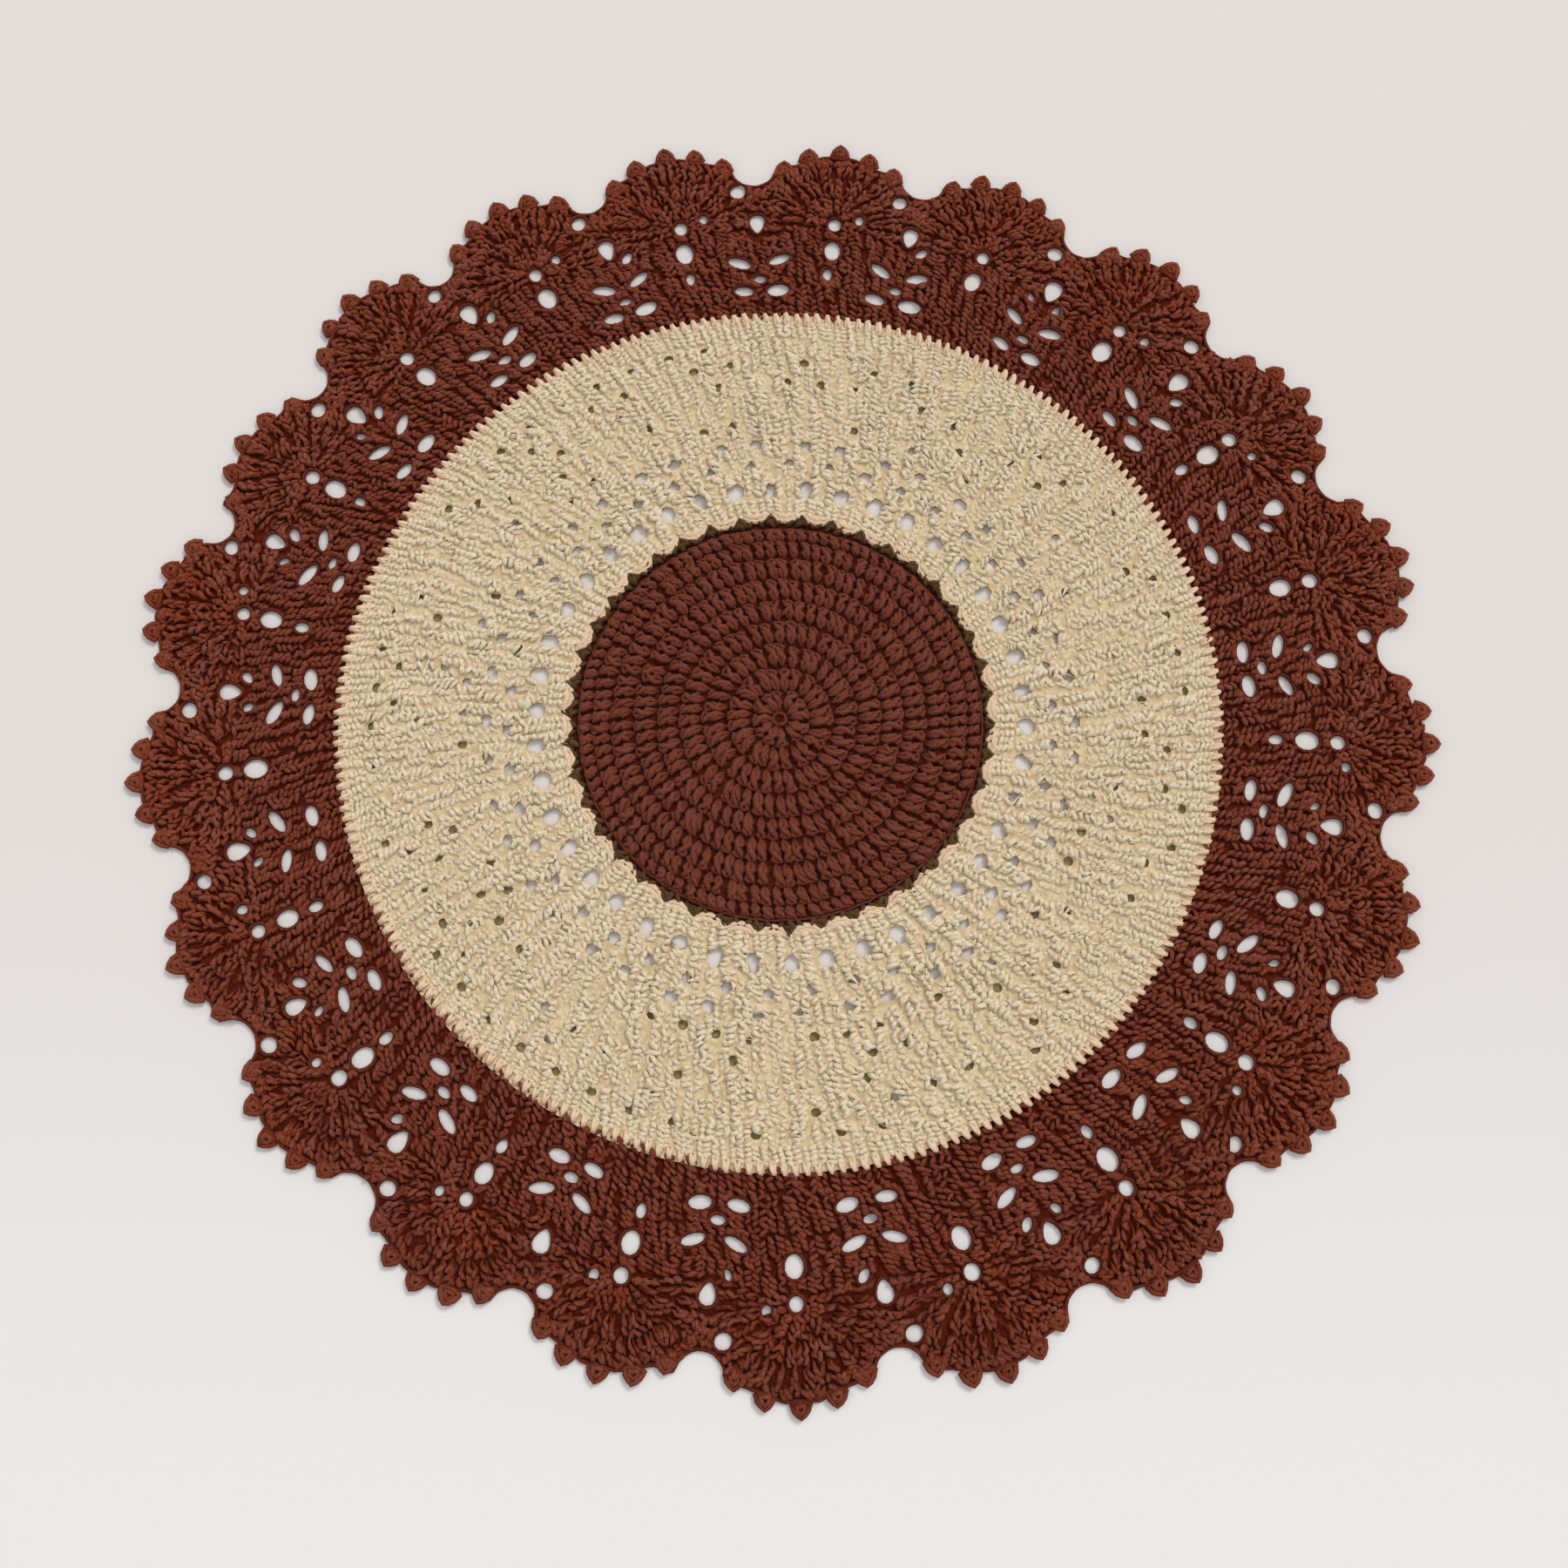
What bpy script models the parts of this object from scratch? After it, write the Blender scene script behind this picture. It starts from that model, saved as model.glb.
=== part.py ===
"""Crochet table centrepiece: a round openwork mat worked in one piece, in rounds, from cotton yarn.

It lies flat, so the solid is a flat sheet of the fabric's own thickness. Its edge has scallops of
five rounded points with a smooth valley between them, and the larger gaps of every repeat go right
through it. The world origin is the centre of the underside, +Z is up and +Y is the far side.

Places on the mat are given as a turn, in degrees clockwise from +Y as seen from above, and a
radius. Sizes in the tables are in millimetres.
"""

import math
from collections import namedtuple

import bpy

MM = 0.001

# Driving dimensions
THICKNESS = 3.0
INNER_EDGE_OF_LACE = 201.0
USUAL_REACH = 300.0

# One row for each scallop: where its axis is, how far its middle point reaches, and the radius at
# the bottom of the valley that follows it. The hand-worked edge is this uneven.
Scallop = namedtuple("Scallop", "axis_deg reach_mm valley_mm")
SCALLOPS = (
    Scallop(6.0, 296.0, 274.0),
    Scallop(23.2, 298.0, 276.0),
    Scallop(40.3, 300.0, 278.0),
    Scallop(57.5, 301.0, 279.0),
    Scallop(74.9, 304.5, 278.0),
    Scallop(92.4, 301.0, 276.0),
    Scallop(110.0, 301.0, 277.0),
    Scallop(127.3, 302.0, 279.0),
    Scallop(144.3, 303.0, 279.0),
    Scallop(161.4, 302.0, 277.0),
    Scallop(178.4, 301.0, 276.0),
    Scallop(195.3, 297.0, 272.5),
    Scallop(212.2, 295.0, 271.0),
    Scallop(229.9, 294.0, 271.0),
    Scallop(247.2, 294.0, 273.0),
    Scallop(264.3, 298.0, 276.0),
    Scallop(281.3, 301.0, 273.0),
    Scallop(298.0, 294.0, 273.0),
    Scallop(315.0, 300.0, 274.0),
    Scallop(331.8, 298.0, 274.0),
    Scallop(348.8, 298.0, 273.0),
)

# The five points of a scallop, turned from its axis and lower than its reach, and the notches
# between them.
Point = namedtuple("Point", "turn_deg drop_mm half_width_deg")
POINTS = (
    Point(-5.6, 10.5, 0.75),
    Point(-3.1, 3.2, 0.75),
    Point(-0.1, 0.0, 0.75),
    Point(2.8, 3.0, 0.75),
    Point(5.4, 9.8, 0.75),
)
Notch = namedtuple("Notch", "turn_deg drop_mm")
NOTCHES = (
    Notch(-4.5, 11.8),
    Notch(-1.7, 6.2),
    Notch(1.3, 6.0),
    Notch(4.2, 11.2),
)
# A point's shoulders are this much lower than its blunt tip, which has this share of its width.
POINT_SHOULDER = 2.3
POINT_TIP_SHARE = 0.4
POINT_UNEVEN = 0.6

# A valley starts this far past the last point's shoulder, and rises this much at its ends. Its
# stations are shares of its half width.
VALLEY_CLEARANCE_DEG = 0.1
VALLEY_RISE = 11.0
VALLEY_STATIONS = (-1.0, -0.88, -0.5, 0.0, 0.5, 0.88, 1.0)

# The gaps of one repeat of the border, with the turn counted from the scallop's axis. The radius is
# the one in a scallop of the usual reach. Wide is across the radius, tall along it, and lean turns
# the gap clockwise. A drop is a teardrop with its point towards the centre.
Gap = namedtuple("Gap", "name turn_deg radius_mm wide_mm tall_mm lean_deg sides drop")
LACE_GAPS = (
    Gap("fan eye", 0.0, 254.0, 6.4, 6.8, 0.0, 7, False),
    Gap("spine gap", 0.0, 240.0, 8.2, 10.4, 0.0, 8, False),
    Gap("valley eye", 6.6, 271.3, 7.2, 6.6, -25.0, 6, False),
    Gap("teardrop", 8.6, 252.8, 10.0, 10.4, 0.0, 7, True),
    Gap("upper slit before the valley", 6.4, 231.6, 11.6, 5.0, 24.0, 6, False),
    Gap("upper slit after the valley", 10.9, 232.4, 11.2, 5.0, -24.0, 6, False),
    Gap("lower slit before the valley", 6.4, 215.8, 9.8, 5.2, 8.0, 6, False),
    Gap("lower slit after the valley", 10.9, 216.2, 10.4, 6.2, -8.0, 7, False),
)

# The gaps of the band inside the border. Each round has this many, and every second one is moved
# by the given turn, because the inner rounds are worked in pairs of trebles.
BandRound = namedtuple("BandRound", "radius_mm count first_deg pair_shift_deg wide_mm tall_mm sides")
BAND_ROUNDS = (
    BandRound(112.0, 42, 6.2, 0.0, 8.0, 8.8, 8),
    BandRound(124.0, 42, 10.4, 0.0, 6.4, 5.4, 6),
    BandRound(134.2, 42, 5.0, -1.2, 7.0, 5.2, 6),
)

# A teardrop's width is this share of an ellipse's at mid height, and grows or shrinks by the rest.
TEARDROP_SHARE = 0.78

# What is asked of the uneven function, and the steps that scatter its answers.
ASK_SIZE, ASK_TURN, ASK_RADIUS, ASK_LEAN, ASK_DROP = range(1, 6)
SCATTER_PLACE = 12.9898
SCATTER_ROW = 78.233
SCATTER_QUESTION = 37.719
SCATTER_GAIN = 43758.5453

# How far hand work strays from the pattern.
UNEVEN_SIZE = 0.07
UNEVEN_PLACE = 0.5
UNEVEN_TURN_DEG = 0.15
UNEVEN_LEAN_DEG = 5.0

YARN_COLOUR = (0.105, 0.024, 0.014, 1.0)
YARN_ROUGHNESS = 0.9


def uneven(place, row, question):
    """A number from -1 to 1 that is always the same for the same place, row and question."""
    key = place * SCATTER_PLACE + row * SCATTER_ROW + question * SCATTER_QUESTION
    wave = math.sin(key) * SCATTER_GAIN
    return 2.0 * (wave - math.floor(wave)) - 1.0


def at(turn_deg, radius_mm):
    """The point of the mat at this turn and radius, in metres."""
    turn = math.radians(turn_deg)
    return radius_mm * math.sin(turn) * MM, radius_mm * math.cos(turn) * MM


def stretched(radius_mm, reach_mm):
    """The radius in a scallop of this reach, where the border is worked wider or narrower."""
    share = (radius_mm - INNER_EDGE_OF_LACE) / (USUAL_REACH - INNER_EDGE_OF_LACE)
    return INNER_EDGE_OF_LACE + share * (reach_mm - INNER_EDGE_OF_LACE)


def scallop_points(scallop):
    """The five rounded points of one scallop, with the notches between them."""
    outline = []
    for number, point in enumerate(POINTS):
        drop = point.drop_mm + POINT_UNEVEN * uneven(scallop.axis_deg, number, ASK_DROP)
        turn = scallop.axis_deg + point.turn_deg
        for side, lower in ((-1, True), (-1, False), (1, False), (1, True)):
            width = point.half_width_deg * (1.0 if lower else POINT_TIP_SHARE)
            fall = POINT_SHOULDER if lower else 0.0
            outline.append(at(turn + side * width, scallop.reach_mm - drop - fall))
        if number < len(NOTCHES):
            notch = NOTCHES[number]
            notch_turn = scallop.axis_deg + notch.turn_deg
            outline.append(at(notch_turn, scallop.reach_mm - notch.drop_mm))
    return outline


def valley_points(scallop, following_axis_deg):
    """The smooth round valley between this scallop and the next one."""
    first, last = POINTS[0], POINTS[-1]
    start = scallop.axis_deg + last.turn_deg + last.half_width_deg + VALLEY_CLEARANCE_DEG
    end = following_axis_deg + first.turn_deg - first.half_width_deg - VALLEY_CLEARANCE_DEG
    outline = []
    for station in VALLEY_STATIONS:
        turn = (start + end) / 2.0 + station * (end - start) / 2.0
        rise = VALLEY_RISE * (1.0 - math.sqrt(1.0 - station * station))
        outline.append(at(turn, scallop.valley_mm + rise))
    return outline


def edge_outline():
    """The whole scalloped edge, clockwise."""
    outline = []
    for number, scallop in enumerate(SCALLOPS):
        following = SCALLOPS[(number + 1) % len(SCALLOPS)]
        turn_over = 360.0 if following.axis_deg < scallop.axis_deg else 0.0
        outline += scallop_points(scallop)
        outline += valley_points(scallop, following.axis_deg + turn_over)
    return outline


def gap_outline(turn_deg, radius_mm, wide_mm, tall_mm, lean_deg, sides, drop=False):
    """A rounded gap: an ellipse of a few sides, or a teardrop that narrows towards the centre."""
    lean = math.radians(lean_deg)
    outline = []
    for corner in range(sides):
        angle = math.pi / 2.0 + 2.0 * math.pi * (corner + 0.5) / sides
        if drop:
            angle = -math.pi / 2.0 + 2.0 * math.pi * corner / sides
        across = math.cos(angle) * wide_mm / 2.0
        along = math.sin(angle) * tall_mm / 2.0
        if drop:
            across *= TEARDROP_SHARE + (1.0 - TEARDROP_SHARE) * math.sin(angle)
        turned_across = across * math.cos(lean) + along * math.sin(lean)
        turned_along = along * math.cos(lean) - across * math.sin(lean)
        turn = turn_deg + math.degrees(turned_across / radius_mm)
        outline.append(at(turn, radius_mm + turned_along))
    return outline


def lace_gap_outlines():
    """The gaps of every repeat of the border, each a little uneven."""
    outlines = []
    for number, scallop in enumerate(SCALLOPS):
        following = SCALLOPS[(number + 1) % len(SCALLOPS)]
        span = (following.axis_deg - scallop.axis_deg) % 360.0
        for row, gap in enumerate(LACE_GAPS):
            share = gap.turn_deg * len(SCALLOPS) / 360.0
            turn = scallop.axis_deg + share * span
            reach = scallop.reach_mm + share * (following.reach_mm - scallop.reach_mm)
            size = 1.0 + UNEVEN_SIZE * uneven(turn, row, ASK_SIZE)
            outlines.append(
                gap_outline(
                    turn + UNEVEN_TURN_DEG * uneven(turn, row, ASK_TURN),
                    stretched(gap.radius_mm, reach) + UNEVEN_PLACE * uneven(turn, row, ASK_RADIUS),
                    gap.wide_mm * size,
                    gap.tall_mm * size,
                    gap.lean_deg + UNEVEN_LEAN_DEG * uneven(turn, row, ASK_LEAN),
                    gap.sides,
                    gap.drop,
                )
            )
    return outlines


def band_gap_outlines():
    """The gaps of the inner rounds of the band, each a little uneven."""
    outlines = []
    for row, band in enumerate(BAND_ROUNDS):
        for number in range(band.count):
            turn = band.first_deg + 360.0 * number / band.count
            turn += band.pair_shift_deg * (number % 2)
            size = 1.0 + UNEVEN_SIZE * uneven(turn, row, ASK_SIZE)
            outlines.append(
                gap_outline(
                    turn + UNEVEN_TURN_DEG * uneven(turn, row, ASK_TURN),
                    band.radius_mm + UNEVEN_PLACE * uneven(turn, row, ASK_RADIUS),
                    band.wide_mm * size,
                    band.tall_mm * size,
                    UNEVEN_LEAN_DEG * uneven(turn, row, ASK_LEAN),
                    band.sides,
                )
            )
    return outlines


def add_closed_line(curve, outline):
    """One closed straight-edged line of the flat curve: the edge, or a gap inside it."""
    line = curve.splines.new("POLY")
    line.points.add(len(outline) - 1)
    for corner, (x, y) in zip(line.points, outline):
        corner.co = (x, y, 0.0, 1.0)
    line.use_cyclic_u = True


def yarn_material():
    material = bpy.data.materials.new("brown cotton yarn")
    material.use_nodes = True
    shader = material.node_tree.nodes["Principled BSDF"]
    shader.inputs["Base Color"].default_value = YARN_COLOUR
    shader.inputs["Roughness"].default_value = YARN_ROUGHNESS
    shader.inputs["Metallic"].default_value = 0.0
    return material


def make_centrepiece():
    """The mat: a flat filled curve with its gaps left open, given the fabric's thickness."""
    curve = bpy.data.curves.new("centrepiece", "CURVE")
    curve.dimensions = "2D"
    curve.fill_mode = "BOTH"
    curve.extrude = THICKNESS * MM / 2.0
    for outline in [edge_outline(), *lace_gap_outlines(), *band_gap_outlines()]:
        add_closed_line(curve, outline)
    curve.materials.append(yarn_material())
    mat = bpy.data.objects.new("centrepiece", curve)
    mat.location = (0.0, 0.0, THICKNESS * MM / 2.0)
    bpy.context.scene.collection.objects.link(mat)


def main():
    for old in list(bpy.data.objects):
        bpy.data.objects.remove(old, do_unlink=True)
    make_centrepiece()


main()
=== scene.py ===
# %% [markdown]
# A crocheted table centrepiece, laid flat.
# The real one is a single piece of cotton crochet, worked in rounds from the middle outwards: a dark
# brown disc, a cream band and a wide brown border whose rounds swell into fans. This lesson dresses
# the flat CAD solid, which holds the size, the edge and the larger gaps, in real loops of yarn.

# %% The frame
import math
from collections import namedtuple

import bmesh
import bpy
import numpy as np
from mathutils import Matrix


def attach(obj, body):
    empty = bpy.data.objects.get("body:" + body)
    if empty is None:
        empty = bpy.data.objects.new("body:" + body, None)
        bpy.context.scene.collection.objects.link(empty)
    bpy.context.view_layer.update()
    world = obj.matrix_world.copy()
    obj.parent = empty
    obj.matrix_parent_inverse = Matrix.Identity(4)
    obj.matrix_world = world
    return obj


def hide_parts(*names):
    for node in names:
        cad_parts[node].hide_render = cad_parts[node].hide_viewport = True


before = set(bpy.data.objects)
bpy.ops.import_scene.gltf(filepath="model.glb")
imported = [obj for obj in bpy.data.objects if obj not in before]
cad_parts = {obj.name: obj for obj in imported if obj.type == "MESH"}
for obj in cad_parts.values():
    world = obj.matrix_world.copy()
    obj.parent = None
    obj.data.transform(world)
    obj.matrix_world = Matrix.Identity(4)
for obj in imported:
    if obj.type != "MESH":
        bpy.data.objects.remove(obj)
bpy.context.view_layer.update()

NODE = "centrepiece"
BODY = "root"

# %% [markdown]
# Places on the mat are a turn, in degrees clockwise from the far side, and a radius in millimetres.
# The mat is hand work, so its scallops are uneven: a short table holds one row for each of them. A
# maker counts in repeats, so a place in the border is also given as a repeat number, where 0 is the
# axis of the first scallop, 0.5 is the valley after it and 1 is the next axis.

# %% Sizes of the mat
MM = 0.001
# A noise's scale is how many of its cells lie in a metre.
PER_METRE = 1000.0
INNER_EDGE_OF_LACE = 201.0
USUAL_REACH = 300.0

Scallop = namedtuple("Scallop", "axis_deg reach_mm valley_mm")
SCALLOPS = (
    Scallop(6.0, 296.0, 274.0),
    Scallop(23.2, 298.0, 276.0),
    Scallop(40.3, 300.0, 278.0),
    Scallop(57.5, 301.0, 279.0),
    Scallop(74.9, 304.5, 278.0),
    Scallop(92.4, 301.0, 276.0),
    Scallop(110.0, 301.0, 277.0),
    Scallop(127.3, 302.0, 279.0),
    Scallop(144.3, 303.0, 279.0),
    Scallop(161.4, 302.0, 277.0),
    Scallop(178.4, 301.0, 276.0),
    Scallop(195.3, 297.0, 272.5),
    Scallop(212.2, 295.0, 271.0),
    Scallop(229.9, 294.0, 271.0),
    Scallop(247.2, 294.0, 273.0),
    Scallop(264.3, 298.0, 276.0),
    Scallop(281.3, 301.0, 273.0),
    Scallop(298.0, 294.0, 273.0),
    Scallop(315.0, 300.0, 274.0),
    Scallop(331.8, 298.0, 274.0),
    Scallop(348.8, 298.0, 273.0),
)
REPEATS = len(SCALLOPS)
AXES = np.array([s.axis_deg for s in SCALLOPS])
REACHES = np.array([s.reach_mm for s in SCALLOPS])


def at(turn_deg, radius_mm):
    """The points at these turns and radii, in metres, one row each."""
    turn = np.radians(turn_deg)
    return np.stack([radius_mm * np.sin(turn), radius_mm * np.cos(turn)], axis=-1) * MM


def turn_of(points):
    return np.degrees(np.arctan2(points[..., 0], points[..., 1]))


def radius_of(points):
    """How far points are from the mat's middle, in metres."""
    return np.hypot(points[..., 0], points[..., 1])


def around(repeat, values, one_turn=0.0):
    """A value given for each scallop, read between them at any repeat number."""
    numbers = np.arange(-1, REPEATS + 1)
    ringed = np.concatenate([values[-1:] - one_turn, values, values[:1] + one_turn])
    whole_turns = np.floor_divide(repeat, REPEATS)
    return np.interp(repeat - whole_turns * REPEATS, numbers, ringed) + whole_turns * one_turn


def turn_at(repeat):
    return around(repeat, AXES, 360.0)


def stretched(radius_mm, reach_mm):
    """The radius in a scallop of this reach, where the border is worked wider or narrower."""
    share = (radius_mm - INNER_EDGE_OF_LACE) / (USUAL_REACH - INNER_EDGE_OF_LACE)
    return INNER_EDGE_OF_LACE + share * (reach_mm - INNER_EDGE_OF_LACE)


def in_border(repeat, radius_mm):
    """The points at these repeat numbers and usual radii."""
    return at(turn_at(repeat), stretched(radius_mm, around(repeat, REACHES)))


print("repeats", REPEATS, "mean reach", round(REACHES.mean(), 1), "mm")

# %% [markdown]
# The gaps. A crochet maker leaves them by working chains in place of stitches, and the stitches
# beside a gap bend round it. Here each gap is an ellipse or a teardrop. The largest ones are also
# cut through the solid, from the same tables, and the small ones are only in this script.

# %% Gaps of the border and the band
Gap = namedtuple("Gap", "name turn_deg radius_mm wide_mm tall_mm lean_deg sides drop chance")
LACE_GAPS = (
    Gap("fan eye", 0.0, 254.0, 6.4, 6.8, 0.0, 7, False, 1.0),
    Gap("spine gap", 0.0, 240.0, 8.2, 10.4, 0.0, 8, False, 1.0),
    Gap("valley eye", 6.6, 271.3, 7.2, 6.6, -25.0, 6, False, 1.0),
    Gap("teardrop", 8.6, 252.8, 10.0, 10.4, 0.0, 7, True, 1.0),
    Gap("upper slit before the valley", 6.4, 231.6, 11.6, 5.0, 24.0, 6, False, 1.0),
    Gap("upper slit after the valley", 10.9, 232.4, 11.2, 5.0, -24.0, 6, False, 1.0),
    Gap("lower slit before the valley", 6.4, 215.8, 9.8, 5.2, 8.0, 6, False, 1.0),
    Gap("lower slit after the valley", 10.9, 216.2, 10.4, 6.2, -8.0, 7, False, 1.0),
    Gap("leaning gap", 10.3, 245.6, 6.6, 4.2, -48.0, 8, False, 0.9),
    Gap("small leaning gap", 6.9, 244.6, 3.4, 5.4, -28.0, 8, False, 0.6),
    Gap("knot gap", 8.6, 222.8, 6.4, 4.0, 0.0, 8, False, 0.9),
    Gap("small spine gap", 0.0, 225.8, 4.4, 6.4, 0.0, 8, False, 0.6),
    Gap("side eye", 2.7, 257.6, 4.2, 4.8, 0.0, 8, False, 0.7),
)
WHOLE_GAPS = 8

BandRound = namedtuple(
    "BandRound",
    "radius_mm count first_deg pair_shift_deg wide_mm tall_mm sides chance open_share")
BAND_ROUNDS = (
    BandRound(112.0, 42, 6.2, 0.0, 8.0, 8.8, 8, 1.0, 1.0),
    BandRound(124.0, 42, 10.4, 0.0, 6.4, 5.4, 6, 1.0, 1.0),
    BandRound(134.2, 42, 5.0, -1.2, 7.0, 5.2, 6, 1.0, 1.0),
    BandRound(145.0, 63, 2.6, 0.0, 4.2, 4.2, 8, 0.5, 0.4),
    BandRound(155.5, 63, 4.7, 0.0, 4.0, 4.2, 8, 0.4, 0.3),
    BandRound(166.0, 63, 1.2, 0.0, 3.8, 4.2, 8, 0.4, 0.2),
    BandRound(176.5, 63, 3.6, 0.0, 4.4, 3.6, 8, 0.45, 0.1),
    BandRound(186.0, 63, 0.3, 0.0, 4.4, 3.6, 8, 0.6, 0.0),
)

TEARDROP_SHARE = 0.78
ASK_SIZE, ASK_TURN, ASK_RADIUS, ASK_LEAN, ASK_DROP, ASK_CHANCE, ASK_OPEN = range(1, 8)
SCATTER_PLACE, SCATTER_ROW, SCATTER_QUESTION, SCATTER_GAIN = 12.9898, 78.233, 37.719, 43758.5453
UNEVEN_SIZE, UNEVEN_PLACE, UNEVEN_TURN_DEG, UNEVEN_LEAN_DEG = 0.07, 0.5, 0.15, 5.0


def uneven(place, row, question):
    """A number from -1 to 1 that is always the same for the same place, row and question."""
    key = place * SCATTER_PLACE + row * SCATTER_ROW + question * SCATTER_QUESTION
    wave = math.sin(key) * SCATTER_GAIN
    return 2.0 * (wave - math.floor(wave)) - 1.0


Opening = namedtuple("Opening", "turn_deg radius_mm wide_mm tall_mm lean_deg sides drop cut open")


def opening_if_worked(gap, row, turn, radius_mm, lean_deg=0.0, drop=False, cut=True, open_share=1.0):
    """A gap at this place as a list of one, a little uneven, as in the solid, or of none."""
    if abs(uneven(turn, row, ASK_CHANCE)) > gap.chance:
        return []
    size = 1.0 + UNEVEN_SIZE * uneven(turn, row, ASK_SIZE)
    return [Opening(
        turn + UNEVEN_TURN_DEG * uneven(turn, row, ASK_TURN),
        radius_mm + UNEVEN_PLACE * uneven(turn, row, ASK_RADIUS),
        gap.wide_mm * size,
        gap.tall_mm * size,
        lean_deg + UNEVEN_LEAN_DEG * uneven(turn, row, ASK_LEAN),
        gap.sides,
        drop,
        cut,
        abs(uneven(turn, row, ASK_OPEN)) <= open_share,
    )]


def lace_openings():
    """The gaps of every repeat of the border."""
    found = []
    for number, scallop in enumerate(SCALLOPS):
        following = SCALLOPS[(number + 1) % REPEATS]
        span = (following.axis_deg - scallop.axis_deg) % 360.0
        for row, gap in enumerate(LACE_GAPS):
            share = gap.turn_deg * REPEATS / 360.0
            reach = scallop.reach_mm + share * (following.reach_mm - scallop.reach_mm)
            found += opening_if_worked(
                gap, row, scallop.axis_deg + share * span, stretched(gap.radius_mm, reach),
                gap.lean_deg, gap.drop, row < WHOLE_GAPS)
    return found


def band_openings():
    """The gaps of the band's rounds."""
    found = []
    for row, band in enumerate(BAND_ROUNDS):
        for number in range(band.count):
            turn = band.first_deg + 360.0 * number / band.count
            turn += band.pair_shift_deg * (number % 2)
            found += opening_if_worked(
                band, row, turn, band.radius_mm, cut=band.chance == 1.0, open_share=band.open_share)
    return found


LACE_OPENINGS = lace_openings()
BAND_OPENINGS = band_openings()
print("gaps in the border", len(LACE_OPENINGS), "and in the band", len(BAND_OPENINGS))


def opening_line(opening, wider_mm=0.0, sides=None):
    """The closed line round a gap, as points in metres, wider_mm outside its edge."""
    sides = sides or opening.sides
    step = 2.0 * math.pi / sides
    start = -math.pi / 2.0 if opening.drop else math.pi / 2.0 + step / 2.0
    angle = start + step * np.arange(sides)
    across = np.cos(angle) * (opening.wide_mm / 2.0 + wider_mm)
    along = np.sin(angle) * (opening.tall_mm / 2.0 + wider_mm)
    if opening.drop:
        across = across * (TEARDROP_SHARE + (1.0 - TEARDROP_SHARE) * np.sin(angle))
    lean = math.radians(opening.lean_deg)
    turned_across = across * math.cos(lean) + along * math.sin(lean)
    turned_along = along * math.cos(lean) - across * math.sin(lean)
    turn = opening.turn_deg + np.degrees(turned_across / opening.radius_mm)
    return at(turn, opening.radius_mm + turned_along)


# %% [markdown]
# The scalloped edge. Between the five points of a scallop lie notches, and between two scallops a
# smooth round valley. The edge round is worked along the line through the notches and the valleys,
# and each point is a picot, a small knot of chain that sits on that line.

# %% The edge
Point = namedtuple("Point", "turn_deg drop_mm half_width_deg")
POINTS = (
    Point(-5.6, 10.5, 0.75),
    Point(-3.1, 3.2, 0.75),
    Point(-0.1, 0.0, 0.75),
    Point(2.8, 3.0, 0.75),
    Point(5.4, 9.8, 0.75),
)
Notch = namedtuple("Notch", "turn_deg drop_mm")
NOTCHES = (
    Notch(-4.5, 11.8),
    Notch(-1.7, 6.2),
    Notch(1.3, 6.0),
    Notch(4.2, 11.2),
)
VALLEY_CLEARANCE_DEG = 0.1
VALLEY_RISE = 11.0
VALLEY_STATIONS = np.linspace(-1.0, 1.0, 13)
POINT_UNEVEN = 0.6


def base_edge():
    """The line through the notches and round the valleys, clockwise, in metres."""
    turns, radii = [], []
    for number, scallop in enumerate(SCALLOPS):
        following = SCALLOPS[(number + 1) % REPEATS]
        next_axis = scallop.axis_deg + (following.axis_deg - scallop.axis_deg) % 360.0
        for notch in NOTCHES:
            turns.append(scallop.axis_deg + notch.turn_deg)
            radii.append(scallop.reach_mm - notch.drop_mm)
        first, last = POINTS[0], POINTS[-1]
        start = scallop.axis_deg + last.turn_deg + last.half_width_deg + VALLEY_CLEARANCE_DEG
        end = next_axis + first.turn_deg - first.half_width_deg - VALLEY_CLEARANCE_DEG
        turns += list((start + end) / 2.0 + VALLEY_STATIONS * (end - start) / 2.0)
        rise = VALLEY_RISE * (1.0 - np.sqrt(1.0 - VALLEY_STATIONS ** 2))
        radii += list(scallop.valley_mm + rise)
    return at(np.array(turns), np.array(radii))


def walked(line, step):
    """Points at even steps along a closed line."""
    closed = np.concatenate([line, line[:1]])
    lengths = np.linalg.norm(np.diff(closed, axis=0), axis=1)
    travelled = np.concatenate([[0.0], np.cumsum(lengths)])
    count = int(round(travelled[-1] / step))
    stops = np.arange(count) * travelled[-1] / count
    return np.stack([np.interp(stops, travelled, closed[:, k]) for k in range(2)], axis=-1)


EDGE_STEP = 1.0
EDGE = walked(base_edge(), EDGE_STEP * MM)
print("the edge is", round(len(EDGE) * EDGE_STEP), "mm long, without its points")

# %% [markdown]
# The camera. It looks almost straight down, tilted a little towards the far side, as the photograph
# does. Its place was worked out from the borders between the rounds, which are circles on the mat and
# ellipses in the photograph.

# %% The camera
CAMERA_PLACE = (0.0019, -0.1710, 0.6647)
CAMERA_TILT_DEG = 11.96
LENS_MM = 34.36
SENSOR_MM = 36.0


def linked(name, data):
    """A new object of this data, put in the scene."""
    thing = bpy.data.objects.new(name, data)
    bpy.context.scene.collection.objects.link(thing)
    return thing


camera = linked("camera", bpy.data.cameras.new("camera"))
camera.data.lens = LENS_MM
camera.data.sensor_width = SENSOR_MM
camera.location = CAMERA_PLACE
camera.rotation_euler = (math.radians(CAMERA_TILT_DEG), 0.0, 0.0)
bpy.context.scene.camera = camera
bpy.context.scene.view_settings.view_transform = "Standard"
print("camera tilt", CAMERA_TILT_DEG, "degrees, lens", LENS_MM, "mm")

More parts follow.
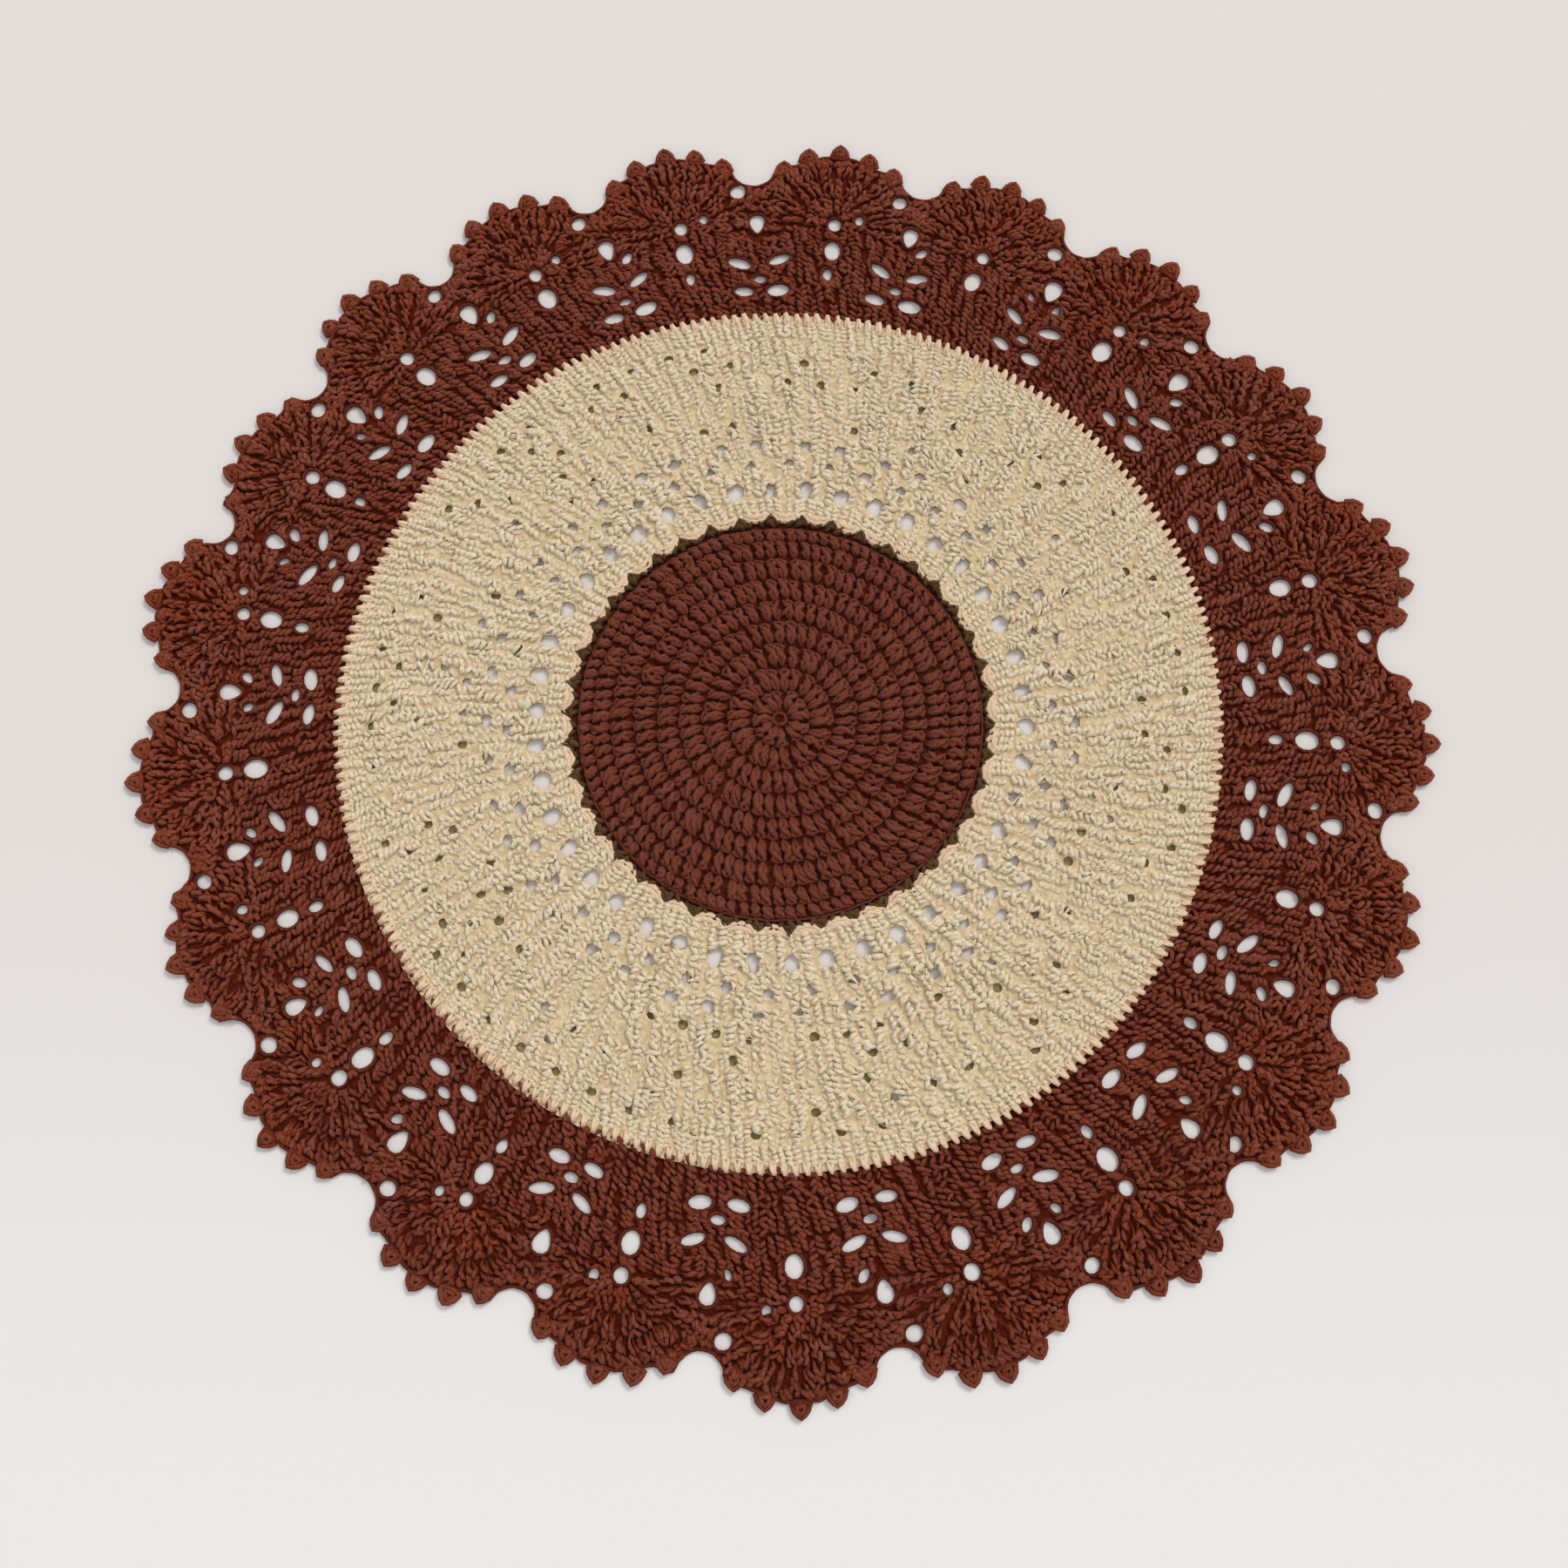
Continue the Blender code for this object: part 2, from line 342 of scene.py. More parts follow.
# %% [markdown]
# Materials are trees of nodes. One small function adds a node, with its links and values. Most of the
# colours here come about in one way: over a lowest colour lie others, each by the share that some
# pattern gives, so a second function lays them. Colours are given in sRGB, as they are picked on a
# screen, and a shader counts in linear light, so a third one turns them.

# %% Helpers for materials
# A Mix node of colours has its two colours and its result at these places among its sockets.
MIX_UNDER, MIX_OVER, MIX_RESULT = 6, 7, 2


def linear(hex_colour):
    """An sRGB hex colour as linear numbers for a shader socket."""
    parts = [int(hex_colour[k:k + 2], 16) / 255.0 for k in (0, 2, 4)]
    return tuple(p / 12.92 if p <= 0.04045 else ((p + 0.055) / 1.055) ** 2.4 for p in parts) + (1.0,)


def add_node(tree, kind, links=None, values=None, **settings):
    """Adds one node. Values and links go to its sockets, by name or number; settings are the rest."""
    node = tree.nodes.new(kind)
    for name, value in settings.items():
        setattr(node, name, value)
    for socket, value in (values or {}).items():
        node.inputs[socket].default_value = value
    for socket, output in (links or {}).items():
        tree.links.new(output, node.inputs[socket])
    return node


def blend(low, high, at_low, at_high):
    """The values of a Map Range node that gives at_low up to low and at_high from high on."""
    return {"From Min": low, "From Max": high, "To Min": at_low, "To Max": at_high}


def layered(tree, lowest, layers):
    """Lays colours over the lowest. Each layer is a colour, a node's value and perhaps a blend of it."""
    paint = add_node(tree, "ShaderNodeRGB")
    paint.outputs[0].default_value = linear(lowest)
    colour = paint.outputs[0]
    for hex_colour, share, *blends in layers:
        for values in blends:
            share = add_node(tree, "ShaderNodeMapRange", {"Value": share}, values).outputs["Result"]
        mix = add_node(tree, "ShaderNodeMix", {"Factor": share, MIX_UNDER: colour},
                       {MIX_OVER: linear(hex_colour)}, data_type="RGBA")
        colour = mix.outputs[MIX_RESULT]
    return colour


def new_material(name, finish):
    """A material whose Principled shader has the finish on its own sockets."""
    material = bpy.data.materials.new(name)
    material.use_nodes = True
    shader = material.node_tree.nodes["Principled BSDF"]
    for socket, value in finish.items():
        shader.inputs[socket].default_value = value
    return material, material.node_tree, shader


print("the middle grey 808080 is", round(linear("808080")[0], 3), "in linear light")

# %% [markdown]
# The floor is a plain pale matte table top, which in the photograph is a little lighter on the near
# side. It lies a fifth of a millimetre under the mat, so that the two never share a plane.

# %% The floor
FLOOR_SIZE = 6.0
FLOOR_DROP = 0.0002
NEAR_COLOUR, FAR_COLOUR = "eae8e4", "e1dcd7"
FLOOR_NEAR, FLOOR_FAR = -0.35, -0.02
floor_mesh = bmesh.new()
bmesh.ops.create_grid(floor_mesh, x_segments=1, y_segments=1, size=FLOOR_SIZE / 2.0)
bmesh.ops.translate(floor_mesh, verts=floor_mesh.verts, vec=(0.0, 0.0, -FLOOR_DROP))
floor = linked("floor", bpy.data.meshes.new("floor"))
floor_mesh.to_mesh(floor.data)
floor_mesh.free()

TABLE_FINISH = {"Roughness": 0.9, "Specular IOR Level": 0.2}
material, tree, shader = new_material("pale matte table top", TABLE_FINISH)
place = add_node(tree, "ShaderNodeTexCoord")
place_on_floor = add_node(tree, "ShaderNodeSeparateXYZ", {0: place.outputs["Object"]})
near_to_far = add_node(tree, "ShaderNodeMapRange", {"Value": place_on_floor.outputs["Y"]},
                       blend(FLOOR_NEAR, FLOOR_FAR, 0.0, 1.0), interpolation_type="SMOOTHSTEP")
floor_colour = layered(tree, NEAR_COLOUR, [(FAR_COLOUR, near_to_far.outputs["Result"])])
tree.links.new(floor_colour, shader.inputs["Base Color"])
floor.data.materials.append(material)
print("floor", FLOOR_SIZE, "metres wide,", FLOOR_DROP / MM, "mm under the mat")

# %% [markdown]
# The light is one broad soft source from the upper right, with a pale world all round, so that the
# stitches throw short soft shadows to the lower left. A sun lamp with a wide angle does that.

# %% The light
KEY_STRENGTH = 1.5
KEY_SPREAD_DEG = 22.0
KEY_COLOUR = (1.0, 0.985, 0.96)
KEY_TILT_DEG, KEY_SIDEWAYS_DEG = -34.0, 31.0
key = linked("key light", bpy.data.lights.new("key light", "SUN"))
key.data.energy = KEY_STRENGTH
key.data.angle = math.radians(KEY_SPREAD_DEG)
key.data.color = KEY_COLOUR
key.rotation_euler = (math.radians(KEY_TILT_DEG), math.radians(KEY_SIDEWAYS_DEG), 0.0)

WORLD_STRENGTH = 0.70
WORLD_COLOUR = "fbfbff"
world = bpy.data.worlds.new("soft studio")
world.use_nodes = True
background = world.node_tree.nodes["Background"]
background.inputs["Color"].default_value = linear(WORLD_COLOUR)
background.inputs["Strength"].default_value = WORLD_STRENGTH
bpy.context.scene.world = world
print("key light", KEY_STRENGTH, "and world", WORLD_STRENGTH)

# %% [markdown]
# Cotton crochet yarn. It is several plies twisted together, dyed in the yarn, with a soft surface
# and hardly any gloss: a Principled shader with high roughness, little specular and a touch of
# sheen. Four plies each go once round the yarn in 10.4 mm, so a slanting groove shows every 2.6 mm.
# They follow the yarn, so the pattern reads the UV map, where U runs along the strand in millimetres
# and V goes once round it. Each stitch takes the dye a little differently, which is the "tone"
# attribute. The mat has also faded unevenly, over some 5 cm, which is a broad noise on Object
# coordinates, and the fans have faded most near their eyes, which is the "warmth" attribute.

# %% Yarn materials
PLY_SPACING = 2.6
PLIES = 4.0
PLY_DEPTH = 0.0004
# A cotton fibre is some 0.015 mm thick, far too fine to show, so its mottle is drawn 0.8 mm coarse.
FIBRE_MM = 0.8
# Of a dye's colours, the one for low places is painted shade between the strands, top is a painted
# highlight on the strands' tops, and dark is both fibre mottle and painted shade in the ply grooves.
Dye = namedtuple("Dye", "name slot deep dark mid light top warm fade_mm")
# Heights at which painted shade gives way to the yarn's own colour, and that to a painted highlight.
SHADE_BELOW_MM, FULL_ABOVE_MM, HIGHLIGHT_AT_MM = 1.2, 2.5, 3.8
# A blend says between which two values another colour comes in, and what share it has at each.
WARM_BLEND = blend(0.45, 0.75, 0.0, 0.9)
FIBRE_BLEND = blend(0.38, 0.7, 0.0, 0.6)
# By these blends the ply grooves and the low places get painted shade, and the tops a painted highlight.
GROOVE_SHADE_BLEND = blend(0.0, 0.45, 0.55, 0.0)
CREVICE_SHADE_BLEND = blend(SHADE_BELOW_MM * MM, FULL_ABOVE_MM * MM, 1.0, 0.0)
PAINTED_HIGHLIGHT_BLEND = blend(FULL_ABOVE_MM * MM, HIGHLIGHT_AT_MM * MM, 0.0, 0.6)
FADE_NOISE = {"Detail": 2.0, "Roughness": 0.5}
FIBRE_NOISE = {"Scale": PER_METRE / FIBRE_MM, "Detail": 3.0, "Roughness": 0.7}
YARN_BUMP = {"Strength": 0.8, "Distance": PLY_DEPTH}
YARN_FINISH = {"Roughness": 0.88, "Specular IOR Level": 0.12, "Sheen Weight": 0.05}


def yarn_material(dye):
    """Twisted cotton yarn in one dye."""
    material, tree, shader = new_material(dye.name, YARN_FINISH)
    uv = add_node(tree, "ShaderNodeUVMap", uv_map="yarn")
    strand = add_node(tree, "ShaderNodeSeparateXYZ", {0: uv.outputs["UV"]})
    along = add_node(tree, "ShaderNodeMath", {0: strand.outputs["X"]}, {1: PLY_SPACING},
                     operation="DIVIDE")
    slanted = add_node(tree, "ShaderNodeMath", {0: strand.outputs["Y"], 2: along.outputs[0]}, {1: PLIES},
                       operation="MULTIPLY_ADD")
    angle = add_node(tree, "ShaderNodeMath", {0: slanted.outputs[0]}, {1: 2.0 * math.pi},
                     operation="MULTIPLY")
    wave = add_node(tree, "ShaderNodeMath", {0: angle.outputs[0]}, operation="SINE")
    ply = add_node(tree, "ShaderNodeMapRange", {"Value": wave.outputs[0]}, blend(-1.0, 1.0, 0.0, 1.0))

    place = add_node(tree, "ShaderNodeTexCoord")
    fade = add_node(tree, "ShaderNodeTexNoise", {"Vector": place.outputs["Object"]},
                    {"Scale": PER_METRE / dye.fade_mm, **FADE_NOISE})
    fibre = add_node(tree, "ShaderNodeTexNoise", {"Vector": place.outputs["Object"]}, FIBRE_NOISE)
    tone = add_node(tree, "ShaderNodeAttribute", attribute_name="tone")
    warmth = add_node(tree, "ShaderNodeAttribute", attribute_name="warmth")
    warm_fade = add_node(tree, "ShaderNodeMath",
                         {0: fade.outputs["Fac"], 1: warmth.outputs["Fac"]}, operation="ADD")
    height = add_node(tree, "ShaderNodeSeparateXYZ", {0: place.outputs["Object"]}).outputs["Z"]

    # Painted shade: light that goes down between strands bounces from dyed yarn to dyed yarn, so the
    # colour low down is painted deeper.
    colour = layered(tree, dye.mid, (
        (dye.light, tone.outputs["Fac"]),
        (dye.warm, warm_fade.outputs[0], WARM_BLEND),
        (dye.dark, fibre.outputs["Fac"], FIBRE_BLEND),
        # Painted shade in the ply grooves.
        (dye.dark, ply.outputs["Result"], GROOVE_SHADE_BLEND),
        (dye.deep, height, CREVICE_SHADE_BLEND),
        # Painted highlight: the tops of the strands are paler.
        (dye.top, height, PAINTED_HIGHLIGHT_BLEND),
    ))
    tree.links.new(colour, shader.inputs["Base Color"])

    relief = add_node(tree, "ShaderNodeMath", {0: ply.outputs["Result"], 1: fibre.outputs["Fac"]},
                      operation="MULTIPLY")
    bump = add_node(tree, "ShaderNodeBump", {"Height": relief.outputs[0]}, YARN_BUMP)
    tree.links.new(bump.outputs["Normal"], shader.inputs["Normal"])
    return material


DISC_DYE = Dye("dark brown combed cotton yarn", "dark_brown_cotton_yarn",
               "480f03", "561b0b", "78361f", "7e402b", "7c4536", "7a3922", 60.0)
BORDER_DYE = Dye("chestnut combed cotton yarn", "brown_cotton_yarn",
                 "4e1002", "5c1b07", "7e3a22", "88442d", "874b3b", "863a1e", 45.0)
FAN_DYE = Dye("rust brown combed cotton yarn", "brown_cotton_yarn",
              "500f01", "5a1a06", "74331c", "934b31", "894f3f", "903c17", 40.0)
BAND_DYE = Dye("cream combed cotton yarn", "cream_cotton_yarn",
               "ccb086", "d4be98", "e9d7b6", "ecdcbe", "e7d8bb", "ead7b9", 50.0)
LOBE_DYE = Dye("pinkish cream combed cotton yarn", "cream_cotton_yarn",
               "b0906a", "cbab88", "e4c8a6", "e9cfae", "ebd0b0", "e4c8a6", 50.0)
SPIKE_DYE = Dye("olive brown combed cotton yarn", "dark_brown_cotton_yarn",
                "2a1604", "35200c", "583c1e", "624424", "6a4c2c", "583a1e", 60.0)
DYES = (DISC_DYE, BORDER_DYE, FAN_DYE, BAND_DYE, LOBE_DYE, SPIKE_DYE)
YARNS = [yarn_material(dye) for dye in DYES]
DISC_YARN, BORDER_YARN, FAN_YARN, BAND_YARN, LOBE_YARN, SPIKE_YARN = YARNS
print("yarn materials", [yarn.name for yarn in YARNS])

# %% [markdown]
# The ground. Behind the front loops of a treble lie its back loops, which close the view, so a thin
# sheet of felted cotton near the table stands for them. Its colours are darker than the yarn's: the
# back loops in painted shade. It is made like the solid: a flat filled curve with the gaps left open,
# one for each yarn. The band is worked so closely that its back loops lie high up, so its sheet is
# thicker, with a second one under it where only a dimple shows. That one has painted shade on top, as
# the floor of a dimple is shaded, and plain cream below, where it is the underside.

# %% Ground sheets
GROUND_LOW, GROUND_HIGH = 0.3, 0.8
BAND_GROUND_HIGH = 2.1
DIMPLE_LOW, DIMPLE_HIGH = 0.05, 0.25
DISC_EDGE, BAND_EDGE = 96.5, 201.5
GROUND_INSET = 1.2
CIRCLE_SIDES = 252
GAP_SIDES = 16
LUMP_MM = 2.3
LUMP_DEPTH = 0.0007
# The felt is darker towards the edge of each lump: painted shade between the lumps.
LUMP_SHADE_BLEND = blend(0.15, 0.7, 1.0, 0.0)
DIMPLE_BLEND = blend(DIMPLE_LOW * MM, DIMPLE_HIGH * MM, 1.0, 0.0)
GRAIN_SHARE = 0.3
GRAIN_NOISE = {"Scale": PER_METRE / FIBRE_MM, "Detail": 4.0, "Roughness": 0.7}
LUMP_BUMP = {"Strength": 1.0, "Distance": LUMP_DEPTH}
FELT_FINISH = {"Roughness": 0.95, "Specular IOR Level": 0.1}
BAND_GROUND_CLEARANCE, BORDER_GROUND_CLEARANCE = 0.3, 0.5
EDGE_THINNING = 3
MERGE_DISTANCE = 1e-6
FACING_UP = 0.5


def circle_line(radius_mm):
    return at(np.arange(CIRCLE_SIDES) * 360.0 / CIRCLE_SIDES, np.full(CIRCLE_SIDES, radius_mm))


def inset_line(line, inset):
    """The closed line moved inwards, which is to the right of a clockwise walk."""
    along = np.roll(line, -1, axis=0) - np.roll(line, 1, axis=0)
    inwards = np.stack([along[:, 1], -along[:, 0]], axis=-1)
    return line + inset * inwards / np.linalg.norm(inwards, axis=1)[:, None]


def ground_sheet(name, lines, material, low=GROUND_LOW, high=GROUND_HIGH):
    """A thin flat sheet inside the first line, open inside the others."""
    curve = bpy.data.curves.new(name, "CURVE")
    curve.dimensions = "2D"
    curve.fill_mode = "BOTH"
    curve.extrude = (high - low) * MM / 2.0
    for line in lines:
        spline = curve.splines.new("POLY")
        spline.points.add(len(line) - 1)
        flat = np.zeros((len(line), 4))
        flat[:, :2] = line
        spline.points.foreach_set("co", flat.ravel())
        spline.use_cyclic_u = True
    maker = bpy.data.objects.new(name, curve)
    mesh = bpy.data.meshes.new_from_object(maker)
    bpy.data.objects.remove(maker)
    sheet = bmesh.new()
    sheet.from_mesh(mesh)
    bmesh.ops.remove_doubles(sheet, verts=sheet.verts, dist=MERGE_DISTANCE)
    bmesh.ops.translate(sheet, verts=sheet.verts, vec=(0.0, 0.0, (low + high) / 2.0 * MM))
    bmesh.ops.recalc_face_normals(sheet, faces=sheet.faces)
    area = sum(f.calc_area() for f in sheet.faces if f.normal.z > FACING_UP)
    sheet.to_mesh(mesh)
    sheet.free()
    mesh.name = name
    mesh.materials.clear()
    mesh.materials.append(material)
    piece = linked(name, mesh)
    print(name, "faces", len(mesh.polygons), "area", round(area, 4), "square metres")
    return piece, area


def felt_material(name, dark, mid, underside=None):
    """The back loops, seen only between the front ones: small lumps, one strand apart, with painted
    shade between them.
    """
    material, tree, shader = new_material(name, FELT_FINISH)
    place = add_node(tree, "ShaderNodeTexCoord")
    grain = add_node(tree, "ShaderNodeTexNoise", {"Vector": place.outputs["Object"]}, GRAIN_NOISE)
    lump = add_node(tree, "ShaderNodeTexVoronoi", {"Vector": place.outputs["Object"]},
                    {"Scale": PER_METRE / LUMP_MM}, feature="SMOOTH_F1")
    full = add_node(tree, "ShaderNodeMapRange", {"Value": lump.outputs["Distance"]}, LUMP_SHADE_BLEND)
    layers = [(mid, full.outputs["Result"])]
    if underside:
        height = add_node(tree, "ShaderNodeSeparateXYZ", {0: place.outputs["Object"]}).outputs["Z"]
        layers.append((underside, height, DIMPLE_BLEND))
    tree.links.new(layered(tree, dark, layers), shader.inputs["Base Color"])
    relief = add_node(tree, "ShaderNodeMath", {0: grain.outputs["Fac"], 2: full.outputs["Result"]},
                      {1: GRAIN_SHARE}, operation="MULTIPLY_ADD")
    bump = add_node(tree, "ShaderNodeBump", {"Height": relief.outputs[0]}, LUMP_BUMP)
    tree.links.new(bump.outputs["Normal"], shader.inputs["Normal"])
    return material


# Each ground's colours are darker than the yarn over it, as painted shade on the back loops.
disc_ground, disc_area = ground_sheet(
    "disc_ground",
    [circle_line(DISC_EDGE)],
    felt_material("dark brown inner strands", "420f04", "5e2511"))
band_rings = [circle_line(BAND_EDGE), circle_line(DISC_EDGE)]
band_ground, band_area = ground_sheet(
    "band_ground",
    band_rings + [opening_line(o, BAND_GROUND_CLEARANCE) for o in BAND_OPENINGS],
    felt_material("cream inner strands", "cab187", "e4d0ab"),
    GROUND_LOW, BAND_GROUND_HIGH)
dimple_ground, dimple_area = ground_sheet(
    "band_dimple_ground",
    band_rings + [opening_line(o, BAND_GROUND_CLEARANCE) for o in BAND_OPENINGS if o.open],
    felt_material("shaded cream inner strands", "8a7a50", "a8986c", "dccaa2"),
    DIMPLE_LOW, DIMPLE_HIGH)
border_ground, border_area = ground_sheet(
    "border_ground",
    [inset_line(EDGE[::EDGE_THINNING], GROUND_INSET * MM), circle_line(BAND_EDGE)]
    + [opening_line(o, BORDER_GROUND_CLEARANCE, GAP_SIDES) for o in LACE_OPENINGS],
    felt_material("chestnut inner strands", "480f02", "62220c"))

# %% [markdown]
# The stitches. The front of a treble shows as a few strands that lean over it, one above the other,
# where the yarn wraps round the stitch. Drawing thousands by hand is out of the question, and copying
# one finished mesh would squash the yarn wherever a stitch is wide or short. So each stitch keeps only
# the middle line of its yarn, as a table of bends between its foot and its head, and a curve bevel
# lays yarn of the same thickness along every line. The lines are closed, so no yarn has a cut end.

# %% Loops of one stitch
YARN_RADIUS = 1.06
YARN_SIDES = 4
FABRIC_MIDDLE = 1.7
# Each bend of a loop is a share of the stitch's width, a share of its height, millimetres above the
# table, the yarn's thickness there, as a share, and millimetres to go on along the stitch, if any.
Bend = namedtuple("Bend", "across share height_mm thick along_mm", defaults=(0.0,))
RETURN = Bend(0.0, 0.50, 0.8, 0.55)
BAND_END_MM = 1.65


def wrapped(turns, end_mm=1.25):
    """A treble's wraps: each leans over the front from lower right to upper left and returns behind."""
    rise = 1.0 / turns
    bends = []
    for turn in range(turns):
        start = turn * rise
        bends += [
            Bend(0.40, start + 0.04 * rise, end_mm, 0.85),
            Bend(0.20, start + 0.30 * rise, 2.1, 1.20),
            Bend(-0.18, start + 0.70 * rise, 2.15, 1.24),
            Bend(-0.40, start + 0.97 * rise, end_mm, 0.85),
        ]
    return bends + [RETURN]


def zigzag(turns, end_mm=1.4):
    """Wraps that lean one way and then the other, as where the hook catches the strands unevenly."""
    rise = 1.0 / turns
    bends = [Bend(0.40, 0.02, end_mm, 0.85)]
    for turn in range(turns):
        start = turn * rise
        side = 1.0 if turn % 2 == 0 else -1.0
        bends += [
            Bend(0.20 * side, start + 0.28 * rise, 2.1, 1.20),
            Bend(-0.20 * side, start + 0.66 * rise, 2.15, 1.22),
            Bend(-0.42 * side, start + 0.98 * rise, end_mm, 0.85),
        ]
    return bends + [RETURN]


LACE_WRAPS, LACE_ZIGZAG = wrapped(3), zigzag(3)
BAND_WRAPS, BAND_ZIGZAG = wrapped(4, BAND_END_MM), zigzag(4, BAND_END_MM)
EDGE_WRAP = wrapped(1)
# A treble worked into a tight chain: its foot is narrow, so a dark dot shows beside it.
DOTTED_WRAPS = (
    Bend(0.0, 0.02, 1.7, 1.00),
    Bend(0.28, 0.22, 1.6, 0.95),
    Bend(0.16, 0.38, 2.15, 1.20),
    Bend(-0.20, 0.57, 2.2, 1.24),
    Bend(-0.38, 0.68, 1.25, 0.85),
    Bend(0.38, 0.60, 1.25, 0.85),
    Bend(0.20, 0.75, 2.15, 1.20),
    Bend(-0.16, 0.93, 2.2, 1.24),
    Bend(-0.38, 1.0, 1.25, 0.85),
    RETURN,
)
# The disc is worked in thicker posts, with one strand wrapped over the middle of each.
POST_WRAP = (
    Bend(0.34, 0.30, 1.6, 0.80),
    Bend(0.16, 0.42, 2.6, 0.95),
    Bend(-0.16, 0.62, 2.7, 0.95),
    Bend(-0.34, 0.76, 1.7, 0.80),
    Bend(0.0, 0.55, 1.0, 0.60),
)
POST = (
    Bend(-0.02, 0.03, 1.4, 0.90),
    Bend(0.11, 0.20, 1.9, 0.95),
    Bend(0.23, 0.40, 2.3, 1.25),
    Bend(0.10, 0.64, 2.5, 1.25),
    Bend(-0.14, 0.80, 2.4, 1.20),
    Bend(-0.31, 0.95, 2.0, 1.00),
    Bend(0.05, 0.98, 1.7, 1.00),
    Bend(0.34, 0.88, 2.1, 1.10),
    Bend(0.12, 0.68, 1.5, 0.95),
    Bend(-0.24, 0.44, 2.2, 1.25),
    Bend(-0.12, 0.20, 1.8, 0.95),
)
TOOTH = (
    Bend(0.20, 1.0, 2.1, 1.25, -1.8),
    Bend(0.09, 1.0, 2.8, 1.25, 1.2),
    Bend(0.03, 1.0, 2.9, 1.15, 3.0),
    Bend(-0.05, 1.0, 2.6, 1.05, 3.2),
    Bend(-0.08, 1.0, 2.6, 1.20, 1.2),
    Bend(-0.20, 1.0, 2.0, 1.20, -1.8),
)

print("a treble of the border has", len(LACE_WRAPS), "bends of yarn, one of the band", len(BAND_WRAPS))

# %% [markdown]
# Stitches as numbers. A round holds hundreds of stitches, so all of them are kept together in arrays:
# where their feet and heads are and how wide they are there. One call then lays a table of bends over
# every stitch. A maker's hand isn't a machine, so some loops lean the other way, sit higher or are
# wider than the rest. One seeded generator gives all those numbers, so each run gives the same mat.

# %% Loops for many stitches
Stitches = namedtuple("Stitches", "foot head foot_width head_width")
SEED = 7
chance = np.random.default_rng(SEED)


def joined(groups):
    return Stitches(*(np.concatenate(parts) for parts in zip(*groups)))


def kept(stitches, which):
    return Stitches(*(part[which] for part in stitches))


def loops_of(stitches, pattern, mirrored=0.0, slide=0.0, spread=0.0):
    """One kind of loop for every stitch: stitch, point, then x, y, z in metres and the thickness.

    A share of the loops is mirrored. Slide moves a loop up or down by a share of the stitch's
    height, and spread makes it wider or narrower, both at random."""
    across, share, height, thickness, along = np.array(pattern).T[:, None, :, None]
    count = (len(stitches.foot), 1, 1)
    across = across * np.where(chance.random(count) < mirrored, -1.0, 1.0)
    across = across * (1.0 + spread * chance.uniform(-1.0, 1.0, count))
    share = share + slide * chance.uniform(-1.0, 1.0, count)
    rise = (stitches.head - stitches.foot)[:, None]
    direction = rise / np.linalg.norm(rise, axis=2, keepdims=True)
    width = stitches.foot_width[:, None] * (1.0 - share) + stitches.head_width[:, None] * share
    flat = stitches.foot[:, None] + rise * share + width * across + direction * along * MM
    shape = flat.shape[:2] + (1,)
    height = np.broadcast_to(height * MM, shape)
    return np.concatenate([flat, height, np.broadcast_to(thickness, shape)], axis=2)


def mixed_loops(stitches, patterns, second_share, **looks):
    """Loops of two patterns, the second for a share of the stitches, as a list of two arrays."""
    second = chance.random(len(stitches.foot)) < second_share
    return [loops_of(kept(stitches, which), pattern, **looks)
            for which, pattern in ((~second, patterns[0]), (second, patterns[1]))]


print("chance starts from seed", SEED)

# %% [markdown]
# Hand work is never even. The edge between cream and brown wanders by a few millimetres, each stitch
# sits a little off its place, and every bend of its yarn a little more.

# %% Unevenness
EdgeWander = namedtuple("EdgeWander", "turn_deg move_mm")
EDGE_WANDER = (
    EdgeWander(0.0, -0.7), EdgeWander(45.0, 1.6), EdgeWander(70.0, 1.6), EdgeWander(95.0, -1.2),
    EdgeWander(115.0, -0.8), EdgeWander(150.0, 2.2), EdgeWander(180.0, -0.2), EdgeWander(200.0, -2.0),
    EdgeWander(240.0, -2.0), EdgeWander(270.0, 0.8), EdgeWander(300.0, 0.6), EdgeWander(330.0, 1.6),
    EdgeWander(360.0, -0.7),
)
WANDER_FROM, WANDER_MOST, WANDER_TO = 150.0, 201.0, 240.0
PLACE_JITTER = 0.35
HEIGHT_JITTER = 0.14
MOST_SPREADS = 1.8
WOBBLE = 0.13
THICKNESS_JITTER = 0.09


def wandered(loops):
    """Moves yarn out or in with the edge between the cream and the brown."""
    radius = radius_of(loops) / MM
    turn = turn_of(loops) % 360.0
    move = np.interp(turn, [w.turn_deg for w in EDGE_WANDER], [w.move_mm for w in EDGE_WANDER])
    share = np.interp(radius, [WANDER_FROM, WANDER_MOST, WANDER_TO], [0.0, 1.0, 0.0])
    moved = loops.copy()
    moved[..., :2] *= (1.0 + move * share / radius)[..., None]
    return moved


def jittered(loops, rough=1.0):
    """Shifts every loop a little and makes some thicker than others; rough makes it stronger."""
    spreads = np.array([PLACE_JITTER, PLACE_JITTER, HEIGHT_JITTER])
    shift = np.clip(chance.normal(size=(len(loops), 1, 3)), -MOST_SPREADS, MOST_SPREADS) * spreads
    wobble = chance.normal(size=loops.shape[:2] + (3,)) * WOBBLE
    moved = loops.copy()
    moved[..., :3] += (shift + wobble) * rough * MM
    moved[..., 3] *= 1.0 + THICKNESS_JITTER * chance.normal(size=(len(loops), 1))
    return moved


print("the edge of the cream wanders by", max(w.move_mm for w in EDGE_WANDER), "mm at most")

# %% [markdown]
# Stitches part round every gap, as they do when a chain pulls them aside, and one that would cross a
# gap ends at it. Cutting gaps out of the finished yarn would leave open ends, so the lines are trimmed
# and pushed aside before they become yarn.

